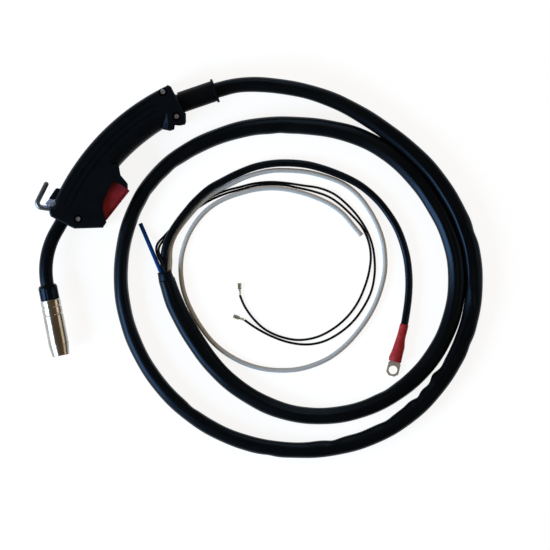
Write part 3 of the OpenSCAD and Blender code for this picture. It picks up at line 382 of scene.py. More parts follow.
def coil_point(angle):
    """Centre of the sheath at an angle: (r cos, r sin) about the coil's middle, and a height that eases from
    the boot's to the sheath's radius by 3 t^2 - 2 t^3."""
    s = (radii_from - angle) / radii_step
    i = np.floor(s).astype(int)
    four = [coil_radii[np.clip(i + k, 0, len(coil_radii) - 1)] for k in (-1, 0, 1, 2)]
    r = blend4(*four, s - i)
    t = np.clip((angle - landed_at) / (lifted_at - landed_at), 0, 1)
    z = sheath_r + (boot_root[2] - sheath_r) * t * t * (3 - 2 * t)
    turn = np.radians(angle)
    return np.stack([coil_centre[0] + r * np.cos(turn), coil_centre[1] + r * np.sin(turn), z], axis=-1)


sheath_route = np.concatenate([
    [boot_root + 12 * boot_way, boot_root + 25 * boot_way, boot_root + 38 * boot_way, [111.5, 133, 15.4]],
    coil_point(np.linspace(coil_start, coil_end, 61))])
sheath_line = even(smooth_line(sheath_route, steps=12) * MM, step=0.0018)
sheath_run = run_of(sheath_line)
from_centre = sheath_line[:, :2] - coil_centre * MM
turned = np.degrees(np.unwrap(np.arctan2(from_centre[:, 1], from_centre[:, 0])))
# Its width: angle along the coil, and width in mm. Half its height comes from half its width by
# wide^2 + tall^2 = 2 r^2, which about keeps the girth.
width_at = np.array([
    [120, 15.2], [90, 15.2], [60, 17.2], [30, 17.8], [0, 17.8], [-20, 18], [-45, 18.2], [-60, 18],
    [-90, 16.6], [-120, 16], [-150, 15.2], [-180, 14.2], [-210, 14.4], [-240, 16.2], [-270, 16.8],
    [-300, 17.6], [-360, 17.8], [-390, 17.4], [-420, 16.2], [-450, 16.4], [-480, 16.8], [-505, 18],
    [-525, 18.2], [-532, 16.4], [-536, 16]])
half_wide = np.interp(-turned, -width_at[:, 0], width_at[:, 1]) * MM / 2
half_tall = np.sqrt(2 * (sheath_r * MM) ** 2 - half_wide ** 2)
# Where it is flatter than round it lies lower, so that it stays on the table
landing = 10
on_table = np.clip((landed_at - turned) / landing, 0, 1)
sheath_line[:, 2] -= on_table * (sheath_r * MM - np.minimum(half_tall, sheath_r * MM))
# Buckles: angle along the coil, depth in mm, length in mm, and side (1 is the inside of the bend)
buckles = np.array([
    [-207, 0.45, 14, 1], [-220, 0.5, 16, 1], [-24, 0.6, 16, -1], [-38, -2, 15, 1], [-47, 1.7, 13, 1],
    [-60, 0.9, 20, 1], [-79, 1, 18, 1], [12, 0.7, 16, -1], [-128, 0.5, 14, 1], [-262, 0.4, 14, 1],
    [-415, 0.4, 16, 1], [-100, 0.5, 16, -1]])
buckle_run = np.interp(-buckles[:, 0], -turned, sheath_run)
# The cable's bead along the sleeve: angle along the coil, height in mm, where it lies round the sleeve, and
# how far from it the valley beside it lies. Both places are in radians.
bead_at = np.array([
    [100, 0, 1.55, -0.45], [70, 0.15, 1.7, -0.45], [45, 0.6, 1.95, -0.45], [10, 0.65, 2.1, -0.45],
    [-4, 0.7, 2.2, -0.45], [-8, 0.85, 1.8, -0.45], [-12, 0.8, 1.65, -0.45], [-17, 0.7, 2.1, -0.45],
    [-30, 0.6, 2.1, -0.45], [-60, 0.65, 1.7, -0.45], [-110, 0.25, 1.5, -0.45], [-150, 0, 1.5, -0.45],
    [-250, 0, 1.6, -0.45], [-290, 0.2, 1.65, -0.45], [-330, 0.7, 1.8, -0.45], [-400, 0.7, 1.8, -0.45],
    [-420, 0.6, 1.75, 0.5], [-450, 0.9, 1.65, 0.5], [-480, 1, 1.8, 0.5], [-500, 1, 1.95, 0.5],
    [-536, 0.4, 2, 0.5]])
bead_run = np.interp(-bead_at[:, 0], -turned, sheath_run)
bead_wide = 0.24
valley_wide = 0.22
valley_share = 0.7
# Near the open end, the valley between cable and hose: its depth in mm, its place and width in radians, how
# far from the end it starts and over what run it deepens, both in metres
split_depth = 1.4
split_at = 1.8
split_wide = 0.3
split_run = 0.2
split_grows = 0.12
# Each buckle slants, reaches past the sleeve's sides and has a lip before and after it: the slant in mm, and
# the lip's height as a share of the depth. Widths, and the lip's distance, are in lengths of the buckle.
fold_slant = 5
fold_past = 0.55
fold_wide = 0.36
lip_share = 0.42
lip_away = 0.85
lip_wide = 0.42


def bead(a, middle, wide):
    """A rounded line along the sleeve: exp(-(angle from its middle / its width)^2)"""
    return np.exp(-((np.mod(a - middle + math.pi, 2 * math.pi) - math.pi) / wide) ** 2)


def sheath_skin(run, a):
    """How far the skin stands out. Two and three soft ridges round it turn to and fro with the run. The cable
    lifts one bead beside a shallow valley, and near the open end a deeper valley runs between cable and hose.
    Fine ripples cross the sides. Each buckle is a slanting fold, depth * reach round the sleeve *
    exp(-(distance / width)^2) along it, with a low lip before and after."""
    slow = run / 0.31
    ridges = 0.3 * np.cos(2 * (a - 1.1 * np.sin(slow) - 0.6))
    ridges = ridges + 0.22 * np.cos(3 * (a - 0.9 * np.sin(0.7 * slow + 1)))
    tall = np.interp(run, bead_run, bead_at[:, 1])
    middle = np.interp(run, bead_run, bead_at[:, 2])
    valley = middle + np.interp(run, bead_run, bead_at[:, 3])
    ridges = ridges + tall * (bead(a, middle, bead_wide) - valley_share * bead(a, valley, valley_wide))
    set_in = np.clip((run - sheath_run[-1] + split_run) / split_grows, 0, 1)
    ridges = ridges - split_depth * set_in * bead(a, split_at, split_wide)
    ripple = 0.1 * np.sin(run / 0.011 + 2 * np.sin(a)) * np.sin(run / 0.047)
    ripple = ripple + 0.08 * np.sin(run / 0.0061 + 3 * np.cos(a))
    out = ridges + ripple * (0.4 + 0.6 * np.abs(np.cos(a)))
    for here, (_, deep, long, side) in zip(buckle_run, buckles):
        facing = np.cos(a) * -side
        lean = (run - here) / MM - fold_slant * np.sin(a) * side
        reach = np.clip(facing + fold_past, 0, 1 + fold_past) / (1 + fold_past)
        out = out - deep * reach ** 1.3 * np.exp(-(lean / (fold_wide * long)) ** 2)
        for off in (lean - lip_away * long, lean + lip_away * long):
            out = out + lip_share * deep * reach * np.exp(-(off / (lip_wide * long)) ** 2)
    return out * MM


sheath_sides = 40
sheath = tube_piece("sheath", sheath_line, half_wide, half_tall, sheath_sides, push=sheath_skin)
black_sleeve = moulded("black_sleeve", dark=(0.0024, 0.0026, 0.003), pale=(0.005, 0.0052, 0.0056),
                       rough=(0.28, 0.38), grain=0.0011, depth=0.00003, patch=0.016, sheen=0.2, on_uv=True,
                       stretch=(1, 0.35, 1), bloom=(0.32, 0.6, 1))
sheath.data.materials.append(black_sleeve)
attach(sheath, "torch")
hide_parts("hose_sheath")

# The sheath is in two layers. The inner one stands out of the cut end, and the leads come out of it.
sheath_end = coil_point(np.array(float(coil_end))) * MM
end_way = sheath_end - coil_point(np.array(coil_end + 2.0)) * MM
end_way[2] = 0
end_way /= np.linalg.norm(end_way)
end_across = np.array([end_way[1], -end_way[0], 0])
straight_up = np.array([0, 0, 1])


def end_point(s, a, b):
    """A place s mm out of the sheath's end, a mm to its right and b mm up, in mm."""
    return sheath_end / MM + s * end_way + a * end_across + b * straight_up


# The inner layer's profile, up the outside, over the edge and back down the bore: mm out of the sheath's
# end, and radius. It is a little out of round, wide where it isn't tall, and its edge is cut unevenly.
lip_out = np.array([-2, 0.2, 5.5, 7.6, 8, 7.7, 4, -2]) * MM
lip_r = np.array([7.7, 7.7, 7.05, 6.85, 6.65, 6.35, 6.3, 6.3]) * MM
lip_a = round_angles(sheath_sides)
lip_wave = 1 + 0.03 * np.sin(3 * lip_a + 0.7) + 0.018 * np.sin(7 * lip_a)
lip_grid = rings(sheath_end + lip_out[:, None] * end_way, lip_r[:, None] * lip_wave * np.cos(lip_a),
                 lip_r[:, None] * (2 - lip_wave) * np.sin(lip_a), -end_across, straight_up)
uneven_from = 2 * MM
uneven_share = 0.12
uneven = uneven_share * np.clip(lip_out - uneven_from, 0, 1)[:, None] * np.cos(2 * lip_a)
lip_grid += uneven[..., None] * end_way
sheath_lip = grid_piece("sheath_lip", lip_grid)
sheath_lip.data.materials.append(black_sleeve)
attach(sheath_lip, "torch")
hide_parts("sheath_inner_sleeve")

# ---- Power cable and its lug -----------------------------------------------------------------
# Rubber-sheathed copper cable that carries the welding current, with a crimped lug on its end
# for the machine's M8 stud and a red sleeve shrunk over the crimp.
cable_r = 3.75 * MM
lug_at = np.array([276.2, -107, 5.0])
lug_turn = math.radians(256)
lug_way = np.array([math.cos(lug_turn), math.sin(lug_turn), 0])
lug_across = np.array([lug_way[1], -lug_way[0], 0])
power_route = np.concatenate([
    [end_point(-1.5, -0.9, -2.9), end_point(8, -0.5, -3.1)],
    [[36, -42, 5.6], [37, -31.5, 6.8], [40.5, -21, 7.4], [45, -12, 7.8], [51, -3, 8.4], [58, 6, 9],
     [67, 16.5, 9], [81, 29, 7.2], [95, 37, 5.2], [110, 44.5, 4], [127, 51, 3.75], [145, 54.5, 3.75],
     [163, 55, 3.75], [181, 53, 3.75], [199, 48, 3.75], [215.5, 41.5, 3.75], [230, 34, 3.75], [242, 25, 3.75],
     [252.5, 14.5, 3.75], [261.5, 2.5, 3.75], [269, -10, 3.75], [274.5, -23.5, 3.75], [278.5, -38, 3.75],
     [280.5, -52.5, 3.75], [281, -68, 3.75], [280, -83, 3.75], [278, -97, 4.3]],
    [lug_at, lug_at + 12 * lug_way]])
power_line = even(smooth_line(power_route, steps=8) * MM, step=0.0022)


def cable_skin(run, a):
    """The copper strands show through the rubber as five faint ridges that wind round it, and the cable
    weaves a little: 0.035 cos(5 a + run / 8.5 mm) + 0.03 sin(a + run / 21 mm)"""
    return (0.035 * np.cos(5 * a + run / 0.0085) + 0.03 * np.sin(run / 0.021 + a)) * MM


power_cable = tube_piece("power_lead", power_line, cable_r, cable_r, sides=24, push=cable_skin)
black_rubber = moulded("black_rubber", dark=(0.0024, 0.0026, 0.003), pale=(0.005, 0.0052, 0.0056),
                       rough=(0.3, 0.4), grain=0.0008, depth=0.00003, patch=0.012, sheen=0.22, on_uv=True,
                       stretch=(1, 0.4, 1), bloom=(0.32, 0.6, 1))
power_cable.data.materials.append(black_rubber)
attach(power_cable, "torch")
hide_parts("power_cable")

# The red sleeve is round on the cable and wide and flat on the lug, with the barrel's step and its two crimps
# showing through. Sizes are in mm, at distances s from its start, and both its ends turn in.
shrink_s = np.concatenate([[-0.6, -0.6, -0.2, 0.6], np.linspace(2, 36.6, 46), [37.5, 37.9, 37.9]])
on_cable = 4.35
widens = 1.75
widen_run = 26
barrel_at = 8
barrel_step = 0.3
barrel_run = 3
mouth_at = 33
mouth_drop = 0.8
mouth_run = 5
crimp_depth = 0.2
crimp_wide = 2.2
ease = np.clip((shrink_s - barrel_at) / widen_run, 0, 1)
ease = ease * ease * (3 - 2 * ease)
shrink_wide = on_cable + widens * ease
mouth = np.clip((shrink_s - mouth_at) / mouth_run, 0, 1)
barrel = np.clip((shrink_s - barrel_at) / barrel_run, 0, 1)
shrink_tall = on_cable + barrel_step * barrel - mouth_drop * mouth
for crimp_at in (19, 27):
    shrink_tall = shrink_tall - crimp_depth * np.exp(-((shrink_s - crimp_at) / crimp_wide) ** 2)
for k, keep in ((0, 0.86), (1, 0.96), (-1, 0.84), (-2, 0.97)):
    shrink_wide[k] *= keep
    shrink_tall[k] *= keep
shrink_line = (lug_at + shrink_s[:, None] * lug_way) * MM
shrink_line[:, 2] -= 0.0004 * mouth
shrink_a = round_angles(36)
fold = 1 + 0.012 * np.sin(5 * shrink_a + shrink_s[:, None] / 3) + 0.01 * np.sin(11 * shrink_a)
# It swells on its left near the lug, and on its right half way down
flare = (0.8 * np.exp(-((shrink_s[:, None] - 34.5) / 4) ** 2) * np.clip(-np.cos(shrink_a), 0, 1)
         + 0.5 * np.exp(-((shrink_s[:, None] - 22) / 4) ** 2) * np.clip(np.cos(shrink_a), 0, 1))
shrink_grid = rings(shrink_line, (shrink_wide[:, None] + flare) * MM * fold * np.cos(shrink_a),
                    shrink_tall[:, None] * MM * fold * np.sin(shrink_a), -lug_across, straight_up)
lug_shrink = grid_piece("lug_shrink", shrink_grid)
red_shrink = moulded("red_shrink", dark=(0.4, 0.024, 0.028), pale=(0.54, 0.038, 0.042), rough=(0.48, 0.6),
                     grain=0.0009, depth=0.00003, patch=0.006, sheen=0.18)
lug_shrink.data.materials.append(red_shrink)
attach(lug_shrink, "torch")
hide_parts("lug_sleeve")


def metal(name, tints, rough, brush=(60, 60, 60), patch=0.006, depth=0.00002, edge=0.0, spin=0.0):
    """A metal: colour = between its two tints by a noise as wide as patch, gloss and surface = a noise drawn
    out into lines by the brush's scales, turned by spin about z. With an edge radius, its edges are rounded
    in the light."""
    made, nodes, links = new_nodes(name)
    place = nodes.new("ShaderNodeTexCoord")
    turn = nodes.new("ShaderNodeMapping")
    turn.inputs["Scale"].default_value = brush
    upright = nodes.new("ShaderNodeVectorRotate")
    upright.rotation_type = "Z_AXIS"
    upright.inputs["Angle"].default_value = spin
    lines = nodes.new("ShaderNodeTexNoise")
    lines.inputs["Scale"].default_value = 12
    lines.inputs["Detail"].default_value = 5
    spots = nodes.new("ShaderNodeTexNoise")
    spots.inputs["Scale"].default_value = 1 / patch
    spots.inputs["Detail"].default_value = 3
    tint = nodes.new("ShaderNodeMix")
    tint.data_type = "RGBA"
    tint.inputs["A"].default_value = (*tints[0], 1)
    tint.inputs["B"].default_value = (*tints[1], 1)
    spread = nodes.new("ShaderNodeMapRange")
    spread.inputs["From Min"].default_value = 0.38
    spread.inputs["From Max"].default_value = 0.66
    gloss = nodes.new("ShaderNodeMapRange")
    gloss.inputs["To Min"].default_value = rough[0]
    gloss.inputs["To Max"].default_value = rough[1]
    bump = nodes.new("ShaderNodeBump")
    bump.inputs["Distance"].default_value = depth
    skin = nodes.new("ShaderNodeBsdfPrincipled")
    skin.inputs["Metallic"].default_value = 1
    out = nodes.new("ShaderNodeOutputMaterial")
    if edge:
        softened = nodes.new("ShaderNodeBevel")
        softened.samples = edge_samples
        softened.inputs["Radius"].default_value = edge
        links.new(softened.outputs[0], bump.inputs["Normal"])
    links.new(place.outputs["Object"], upright.inputs["Vector"])
    links.new(upright.outputs[0], turn.inputs["Vector"])
    links.new(turn.outputs[0], lines.inputs["Vector"])
    links.new(place.outputs["Object"], spots.inputs["Vector"])
    links.new(spots.outputs["Fac"], spread.inputs["Value"])
    links.new(spread.outputs[0], tint.inputs["Factor"])
    links.new(tint.outputs["Result"], skin.inputs["Base Color"])
    links.new(lines.outputs["Fac"], gloss.inputs["Value"])
    links.new(gloss.outputs[0], skin.inputs["Roughness"])
    links.new(lines.outputs["Fac"], bump.inputs["Height"])
    links.new(bump.outputs[0], skin.inputs["Normal"])
    links.new(skin.outputs[0], out.inputs["Surface"])
    return made


def dress(node, material):
    """Gives a CAD node its material."""
    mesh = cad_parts[node].data
    mesh.materials.clear()
    mesh.materials.append(material)


tinned = metal("tinned_copper", tints=((0.7, 0.67, 0.54), (0.86, 0.83, 0.7)), rough=(0.46, 0.62),
               patch=0.003, edge=0.0003)
dress("cable_lug", tinned)

# ---- Gas hose --------------------------------------------------------------------------------
# Milky plastic hose with a bore of 3 mm, cut square and left open for the machine's gas spigot.
# It leaves the sheath half under the power cable.


def apart(line, other, gap, passes=4):
    """Moves each point of a line straight away from the nearest point of another until they are a gap apart:
    point + way off * (gap - distance), then evened with its neighbours by 1, 2, 1."""
    for _ in range(passes):
        near = other[np.argmin(((line[:, None] - other[None]) ** 2).sum(axis=2), axis=1)]
        off = line - near
        far = np.linalg.norm(off, axis=1)[:, None]
        line = line + off / far * np.maximum(gap - far, 0)
        line[1:-1] = (line[:-2] + 2 * line[1:-1] + line[2:]) / 4
    return line


hose_r = 2.4 * MM
hose_bore_r = 1.5 * MM
hose_sides = 20
mouth_straight = 14
mouth_rows = 8
cord_gap = 0.15 * MM
hose_mouth = np.array([233.5, -17.5, 2.4])
hose_turn = math.radians(-50)
hose_way = np.array([math.cos(hose_turn), math.sin(hose_turn), 0])
gas_route = np.concatenate([
    [end_point(-1.5, 4.4, 0.6), end_point(8, 4.4, 0.4)],
    [[41.8, -41, 3.6], [42, -31, 2.6], [44.4, -22.4, 2.4], [48.7, -13.8, 3], [54.9, -5, 4.3],
     [62.2, 3.6, 4.8], [70.8, 13.2, 4.8], [78.7, 20.4, 4.6], [87, 26.2, 3], [98, 31.5, 2.4],
     [114, 39.5, 2.4], [129, 44.5, 2.4], [145, 47.5, 2.4], [162, 47.5, 2.4], [179, 46, 2.4],
     [197, 41.5, 2.4], [214, 35, 2.4], [228.5, 24.5, 2.4], [240.5, 9.5, 2.4], [249.5, -7, 2.4],
     [255, -23, 2.4], [257, -38, 2.4], [257, -52.5, 2.4], [254, -67, 2.4], [249, -82, 2.4],
     [241.5, -97, 2.4], [232, -111, 2.4], [219, -126, 2.4], [203.5, -138.5, 2.4], [188.5, -146, 2.4],
     [172, -151, 2.4], [154.5, -152.5, 2.4], [136, -151, 2.4], [118, -146, 2.4], [100.5, -137, 2.4],
     [84.5, -124, 2.4], [71.5, -107, 2.4], [62.5, -91, 2.4], [56, -75, 2.4], [53, -58.5, 2.4],
     [53, -42, 2.4], [56, -28, 2.4], [62, -13.5, 2.4], [71.5, 0.5, 2.4], [83, 11.5, 2.4],
     [97, 19.5, 2.4], [113, 25, 2.4], [127, 28.5, 2.4], [142, 30, 2.4], [157, 29, 2.4], [173, 25.5, 2.4],
     [188, 20.5, 2.4], [202, 14, 2.4], [215, 4.5, 2.4]],
    [hose_mouth - mouth_straight * hose_way]])
gas_line = np.concatenate([
    even(smooth_line(gas_route, steps=8) * MM, step=0.003)[:-1],
    (hose_mouth - np.linspace(mouth_straight, 0, mouth_rows)[:, None] * hose_way) * MM])
gas_line[:-mouth_rows] = apart(gas_line, power_line, cable_r + hose_r + cord_gap)[:-mouth_rows]
gas_line[:, 2] = np.maximum(gas_line[:, 2], hose_r)


def open_tube(line, outer_r, inner_r, sides, deep):
    """A tube with an open far end: rings of the outer radius along a line, then so many rows of the bore's
    radius back down from its end."""
    _, across, up = frames_of(line)
    a = round_angles(sides)
    ring = np.cos(a)[None, :, None] * across[:, None, :] + np.sin(a)[None, :, None] * up[:, None, :]
    return line[:, None, :] + outer_r * ring, (line[:, None, :] + inner_r * ring)[::-1][:deep]


gas_outer, gas_bore = open_tube(gas_line, hose_r, hose_bore_r, hose_sides, mouth_rows)
gas_run = run_of(gas_line)
bore_run = gas_run[-1] + np.linspace(0.001, 0.015, mouth_rows)
hose_girth = 0.015
gas_hose = grid_piece("gas_lead", np.concatenate([gas_outer, gas_bore]),
                      tube_uv(hose_girth, np.concatenate([gas_run, bore_run]), hose_sides))

# Cloudy plastic, greyer along the middle of its upper side, where the bore shows through. The distance
# round the hose from that middle picks the tint.
upper_middle = 0.0082
bore_shows = 0.0014
bore_hidden = 0.0028
milky, nodes, links = new_nodes("milky_hose")
place = nodes.new("ShaderNodeTexCoord")
split = nodes.new("ShaderNodeSeparateXYZ")
links.new(place.outputs["UV"], split.inputs[0])
stripe = nodes.new("ShaderNodeMapRange")
stripe.interpolation_type = "SMOOTHSTEP"
stripe.inputs["From Min"].default_value = bore_shows
stripe.inputs["From Max"].default_value = bore_hidden
off_middle = nodes.new("ShaderNodeMath")
off_middle.operation = "SUBTRACT"
off_middle.inputs[1].default_value = upper_middle
far = nodes.new("ShaderNodeMath")
far.operation = "ABSOLUTE"
links.new(split.outputs["X"], off_middle.inputs[0])
links.new(off_middle.outputs[0], far.inputs[0])
links.new(far.outputs[0], stripe.inputs["Value"])
cloud = nodes.new("ShaderNodeTexNoise")
cloud.inputs["Scale"].default_value = 90
links.new(place.outputs["Object"], cloud.inputs["Vector"])
mixed = nodes.new("ShaderNodeMath")
mixed.operation = "MULTIPLY_ADD"
mixed.inputs[1].default_value = 0.35
links.new(cloud.outputs["Fac"], mixed.inputs[0])
links.new(stripe.outputs[0], mixed.inputs[2])
hose_tint = nodes.new("ShaderNodeMix")
hose_tint.data_type = "RGBA"
hose_tint.inputs["A"].default_value = (0.6, 0.6, 0.58, 1)
hose_tint.inputs["B"].default_value = (0.76, 0.755, 0.735, 1)
links.new(mixed.outputs[0], hose_tint.inputs["Factor"])
milk = nodes.new("ShaderNodeBsdfPrincipled")
milk.inputs["Roughness"].default_value = 0.42
milk.inputs["Specular IOR Level"].default_value = 0.25
links.new(hose_tint.outputs["Result"], milk.inputs["Base Color"])
milk_out = nodes.new("ShaderNodeOutputMaterial")
links.new(milk.outputs[0], milk_out.inputs["Surface"])
gas_hose.data.materials.append(milky)
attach(gas_hose, "torch")
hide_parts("gas_hose")

# ---- Wire liner ------------------------------------------------------------------------------
# The blue plastic-covered tube that the welding wire runs in. It stands stiffly out of the sheath, cut
# square with its rim a little rounded.
liner_foot = end_point(-1.5, -2, 3.6)
liner_tip = np.array([12.4, -5.6, 2.3])
liner_r = 2.1 * MM
liner_bore_r = 1 * MM
cut_edge = 0.05 * MM
cut_out = 0.08 * MM
liner_line = even(np.array([liner_foot, liner_tip]) * MM, step=0.003)
liner_outer, liner_bore = open_tube(liner_line, liner_r, liner_bore_r, sides=24, deep=6)
liner_faces = open_tube(liner_line, liner_r - cut_edge, liner_bore_r + cut_edge, sides=24, deep=1)
liner_way = frames_of(liner_line)[0][-1]
liner_cut = np.concatenate([liner_faces[0][-1:], liner_faces[1]]) + cut_out * liner_way
liner = grid_piece("blue_liner", np.concatenate([liner_outer, liner_cut, liner_bore]))
blue_plastic = moulded("blue_plastic", dark=(0.0012, 0.034, 0.17), pale=(0.002, 0.055, 0.24),
                       rough=(0.34, 0.46), grain=0.0007, depth=0.00002, patch=0.008, sheen=0.05)
liner.data.materials.append(blue_plastic)
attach(liner, "torch")
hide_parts("wire_liner")

# ---- Control wires ---------------------------------------------------------------------------
# Two thin black stranded wires from the trigger's switch, in soft plastic, each with a tinned push-on
# terminal crimped to its end.
wire_r = 1.2 * MM
long_route = np.concatenate([
    [end_point(-1.5, 1.2, 3), end_point(8, 0.2, 2.6)],
    [[32.8, -44.5, 9.2], [29.6, -37.5, 6.4], [28.2, -31, 3.4], [30, -25, 1.4], [35.5, -19, 1],
     [41.5, -12.5, 1], [54, 0, 1], [68, 11.5, 1], [82, 20.5, 1], [97, 27, 1], [112, 31, 1],
     [126, 34.5, 1], [142, 36, 1], [158, 35, 1], [175, 32.5, 1], [191, 30, 1], [206, 24, 1],
     [218.5, 14, 1], [229.5, 2, 1], [238.5, -12, 1], [244, -26, 1], [246.5, -41, 1], [246.5, -57, 1],
     [243, -74, 1], [235, -90, 1], [224, -104.5, 1], [210, -116, 1], [194, -124, 1], [177, -126.5, 1],
     [159.5, -124, 1], [143, -118, 1], [128, -110, 1], [116.5, -102, 1]]])
short_route = np.concatenate([
    [end_point(-1.5, 1.6, 5.3), end_point(8, 0.8, 4.9)],
    [[34.8, -44.5, 11], [32, -38, 8.6], [30.6, -32.5, 5.6], [31.8, -27.5, 2.6], [35.5, -22.5, 1.2],
     [43.2, -14, 1], [55.6, -1.6, 1], [69.4, 9.8, 1], [83, 18.2, 1], [98, 24.4, 1], [113, 28.6, 1],
     [127, 32.2, 1], [142, 33.6, 1], [157, 32.8, 1], [169, 30.4, 1], [184, 27, 1], [199, 22, 1],
     [211, 14.5, 1], [223, 3.5, 1], [234, -9, 1], [240.5, -23.5, 1], [242.8, -38.5, 1], [241, -54, 1],
     [237, -68, 1], [230, -84, 1], [219.5, -98.5, 1], [205.5, -110.5, 1], [189, -119, 1], [171, -122, 1],
     [153.5, -119, 1], [138, -112, 1], [126.5, -102, 1], [117, -89, 1], [111.8, -77, 1]]])
wire_plastic = moulded("wire_plastic", dark=(0.0025, 0.0025, 0.003), pale=(0.005, 0.005, 0.0055),
                       rough=(0.36, 0.5), grain=0.0008, depth=0.00001, patch=0.01, sheen=0.12)
for name, route, node, terminal in (
        ("long_wire", long_route, "control_wire_long", "spade_terminal_long"),
        ("short_wire", short_route, "control_wire_short", "spade_terminal_short")):
    wire_line = even(smooth_line(route, steps=8) * MM, step=0.0025)
    wire = tube_piece(name, wire_line, wire_r, wire_r, sides=12)
    wire.data.materials.append(wire_plastic)
    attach(wire, "torch")
    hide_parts(node)
    dress(terminal, tinned)

# ---- Handle shells ---------------------------------------------------------------------------
# Two half shells moulded in black glass-filled nylon, which meet in the plane of the trigger's swing.
# The mould's spark finish leaves a fine grain, and the edges and the ridges of the grip are coloured lighter.
black_nylon = moulded("black_nylon", dark=(0.0018, 0.0024, 0.003), pale=(0.0034, 0.0042, 0.0052),
                      rough=(0.34, 0.44), grain=0.0006, depth=0.00004, patch=0.016, sheen=0.22,
                      edge=0.00025, edge_colour=(0.012, 0.014, 0.018), bloom=(0.44, 0.66, 1))
dress("handle_shell_bottom", black_nylon)
dress("handle_shell_top", black_nylon)

# ---- Shell screws ----------------------------------------------------------------------------
# Three zinc-plated self-tapping screws with turned pan heads, sunk in recesses of the top shell.
# The plating has the bluish cast of its passivation and is bright where the driver has not touched it.
zinc = metal("zinc_plate", tints=((0.56, 0.66, 0.8), (0.7, 0.8, 0.95)), rough=(0.3, 0.46), patch=0.0025,
             edge=0.0002)
dress("shell_screws", zinc)

# ---- Hanging hook ----------------------------------------------------------------------------
# A steel rod, bent cold into a J and nickel-plated dull, on which the torch hangs from a rail.
# It is held in the parting line by a clamp block and its set screw.
dull_nickel = metal("dull_nickel", tints=((0.16, 0.172, 0.18), (0.23, 0.245, 0.255)), rough=(0.3, 0.42),
                    brush=(30, 30, 30), patch=0.005, depth=0.00003)
dress("hanging_hook", dull_nickel)

# ---- Hook clamp block and set screw ----------------------------------------------------------
# A die-cast zinc block in a pocket of the shells, with a groove for the rod, and a bright steel
# set screw with a hexagon socket that wedges the rod into the groove.
cast_zinc = metal("cast_zinc", tints=((0.52, 0.64, 0.9), (0.66, 0.78, 1)), rough=(0.4, 0.55),
                  brush=(25, 25, 25), patch=0.003, depth=0.00006, edge=0.0004)
dress("hook_clamp_block", cast_zinc)
dress("hook_set_screw", zinc)

# ---- Trigger ---------------------------------------------------------------------------------
# A crimson nylon lever, moulded hollow and pivoted on a pin near the grip's front. The finger
# polishes its face. Its edges are painted darker all round, as painted shade.
# Its dark edge colour is painted shade along every edge of the lever.
crimson_nylon = moulded("crimson_nylon", dark=(0.29, 0.017, 0.025), pale=(0.39, 0.023, 0.034),
                        rough=(0.34, 0.46), grain=0.0008, depth=0.00004, patch=0.008, sheen=0.35,
                        edge=0.0014, edge_colour=(0.05, 0.004, 0.006))
dress("trigger", crimson_nylon)

# ---- Trigger pin -----------------------------------------------------------------------------
# A ground steel pin on which the trigger swings. Its ends are held in blind holes of the two shells.
ground_steel = metal("ground_steel", tints=((0.56, 0.56, 0.55), (0.64, 0.63, 0.61)), rough=(0.16, 0.3),
                     brush=(40, 40, 200), patch=0.004)
dress("trigger_pin", ground_steel)

# ---- Switch ----------------------------------------------------------------------------------
# A microswitch behind the trigger: a black phenolic case, an ivory plunger and tinned blades. It stands
# on posts of the bottom shell, with pegs through its two holes.
phenolic = moulded("phenolic", dark=(0.012, 0.012, 0.013), pale=(0.02, 0.02, 0.021), rough=(0.35, 0.5),
                   grain=0.0005, depth=0.00003, patch=0.005, sheen=0.4, edge=0.0003)
ivory = moulded("ivory_plunger", dark=(0.5, 0.46, 0.36), pale=(0.58, 0.54, 0.43), rough=(0.32, 0.45),
                grain=0.0006, depth=0.00002, patch=0.004)
dress("switch_body", phenolic)
dress("switch_button", ivory)
dress("switch_terminals", tinned)

# ---- Connector block, nipple and ferrule -----------------------------------------------------
# The machined brass block that joins cable, gas and liner to the neck. The cable is crimped in a
# copper ferrule, and the hose is pushed on a barbed nipple.
brass = metal("brass", tints=((0.62, 0.44, 0.18), (0.72, 0.53, 0.24)), rough=(0.22, 0.4), edge=0.0003)
copper = metal("copper", tints=((0.66, 0.31, 0.17), (0.76, 0.4, 0.24)), rough=(0.22, 0.4),
               brush=(50, 50, 50), patch=0.004, edge=0.0003)
dress("connector_block", brass)
dress("gas_nipple", brass)
dress("power_ferrule", copper)

# ---- Leads inside the handle -----------------------------------------------------------------
# The cable, hose and liner run on from the block to the sheath, and the two wires from the switch's
# blades, all in the same stuff as outside.
dress("inner_power_cable", black_rubber)
dress("inner_gas_hose", milky)
dress("inner_liner", blue_plastic)
dress("inner_switch_wires", wire_plastic)

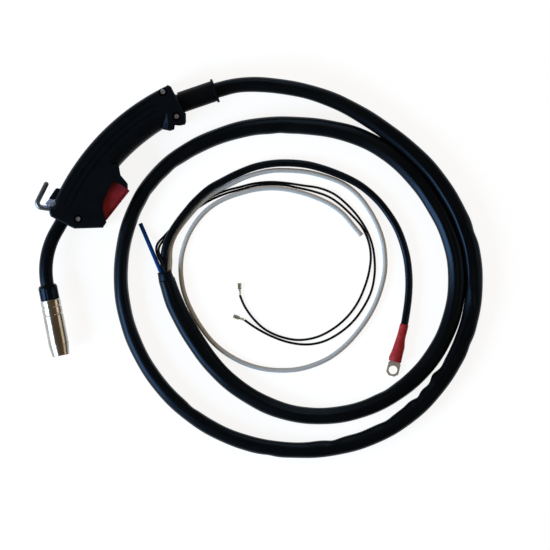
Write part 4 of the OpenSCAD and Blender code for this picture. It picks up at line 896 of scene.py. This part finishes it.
# ---- Neck ------------------------------------------------------------------------------------
# A bent brass tube that carries current and gas, screwed into the block, in a black shrunk-on sleeve
# with a smooth satin skin.
neck_black = moulded("neck_black", dark=(0.002, 0.0024, 0.003), pale=(0.004, 0.0044, 0.005),
                     rough=(0.26, 0.34), grain=0.0012, depth=0.00003, patch=0.012, sheen=0.13,
                     edge=0.0004, edge_colour=(0.01, 0.011, 0.012), bloom=(0.32, 0.6, 1))
dress("neck_tube", brass)
dress("neck_sleeve", neck_black)

# ---- Insulating collar -----------------------------------------------------------------------
# A glossy black phenolic collar, moulded with flutes for the fingers, that keeps the live neck from
# the nozzle.
collar_black = moulded("collar_black", dark=(0.002, 0.0022, 0.0025), pale=(0.004, 0.0043, 0.0046),
                       rough=(0.16, 0.26), grain=0.0008, depth=0.00002, patch=0.008, sheen=0.14,
                       edge=0.0004, edge_colour=(0.01, 0.01, 0.011), bloom=(0.32, 0.6, 1))
dress("insulating_collar", collar_black)

# ---- Tip holder, contact tip and retaining ring ----------------------------------------------
# A turned brass holder with gas holes, the copper contact tip screwed into it, and the sprung
# steel ring that grips the nozzle.
dress("tip_holder", brass)
dress("contact_tip", copper)
dress("retaining_ring", ground_steel)

# ---- Gas nozzle ------------------------------------------------------------------------------
# A copper nozzle turned on a lathe and plated bright. The tool's rings show along it as fine lines
# round its axis, which heads 281 degrees. It pushes onto the retaining ring.
nozzle_turn = math.radians(281)
bright_plate = metal("bright_plate", tints=((0.37, 0.345, 0.3), (0.5, 0.47, 0.42)), rough=(0.15, 0.25),
                     brush=(420, 6, 6), patch=0.02, depth=0.000006, edge=0.0003, spin=-nozzle_turn)
dress("gas_nozzle", bright_plate)

# ---- Strain relief ---------------------------------------------------------------------------
# A moulded black rubber boot with a collar at its mouth, held by its flange in the handle. It keeps the
# hose from bending sharply.
boot_rubber = moulded("boot_rubber", dark=(0.0022, 0.0028, 0.0034), pale=(0.0044, 0.0052, 0.006),
                      rough=(0.36, 0.46), grain=0.0007, depth=0.00004, patch=0.012, sheen=0.1,
                      edge=0.0004, edge_colour=(0.012, 0.013, 0.015), bloom=(0.6, 0.8, 1))
dress("strain_relief", boot_rubber)
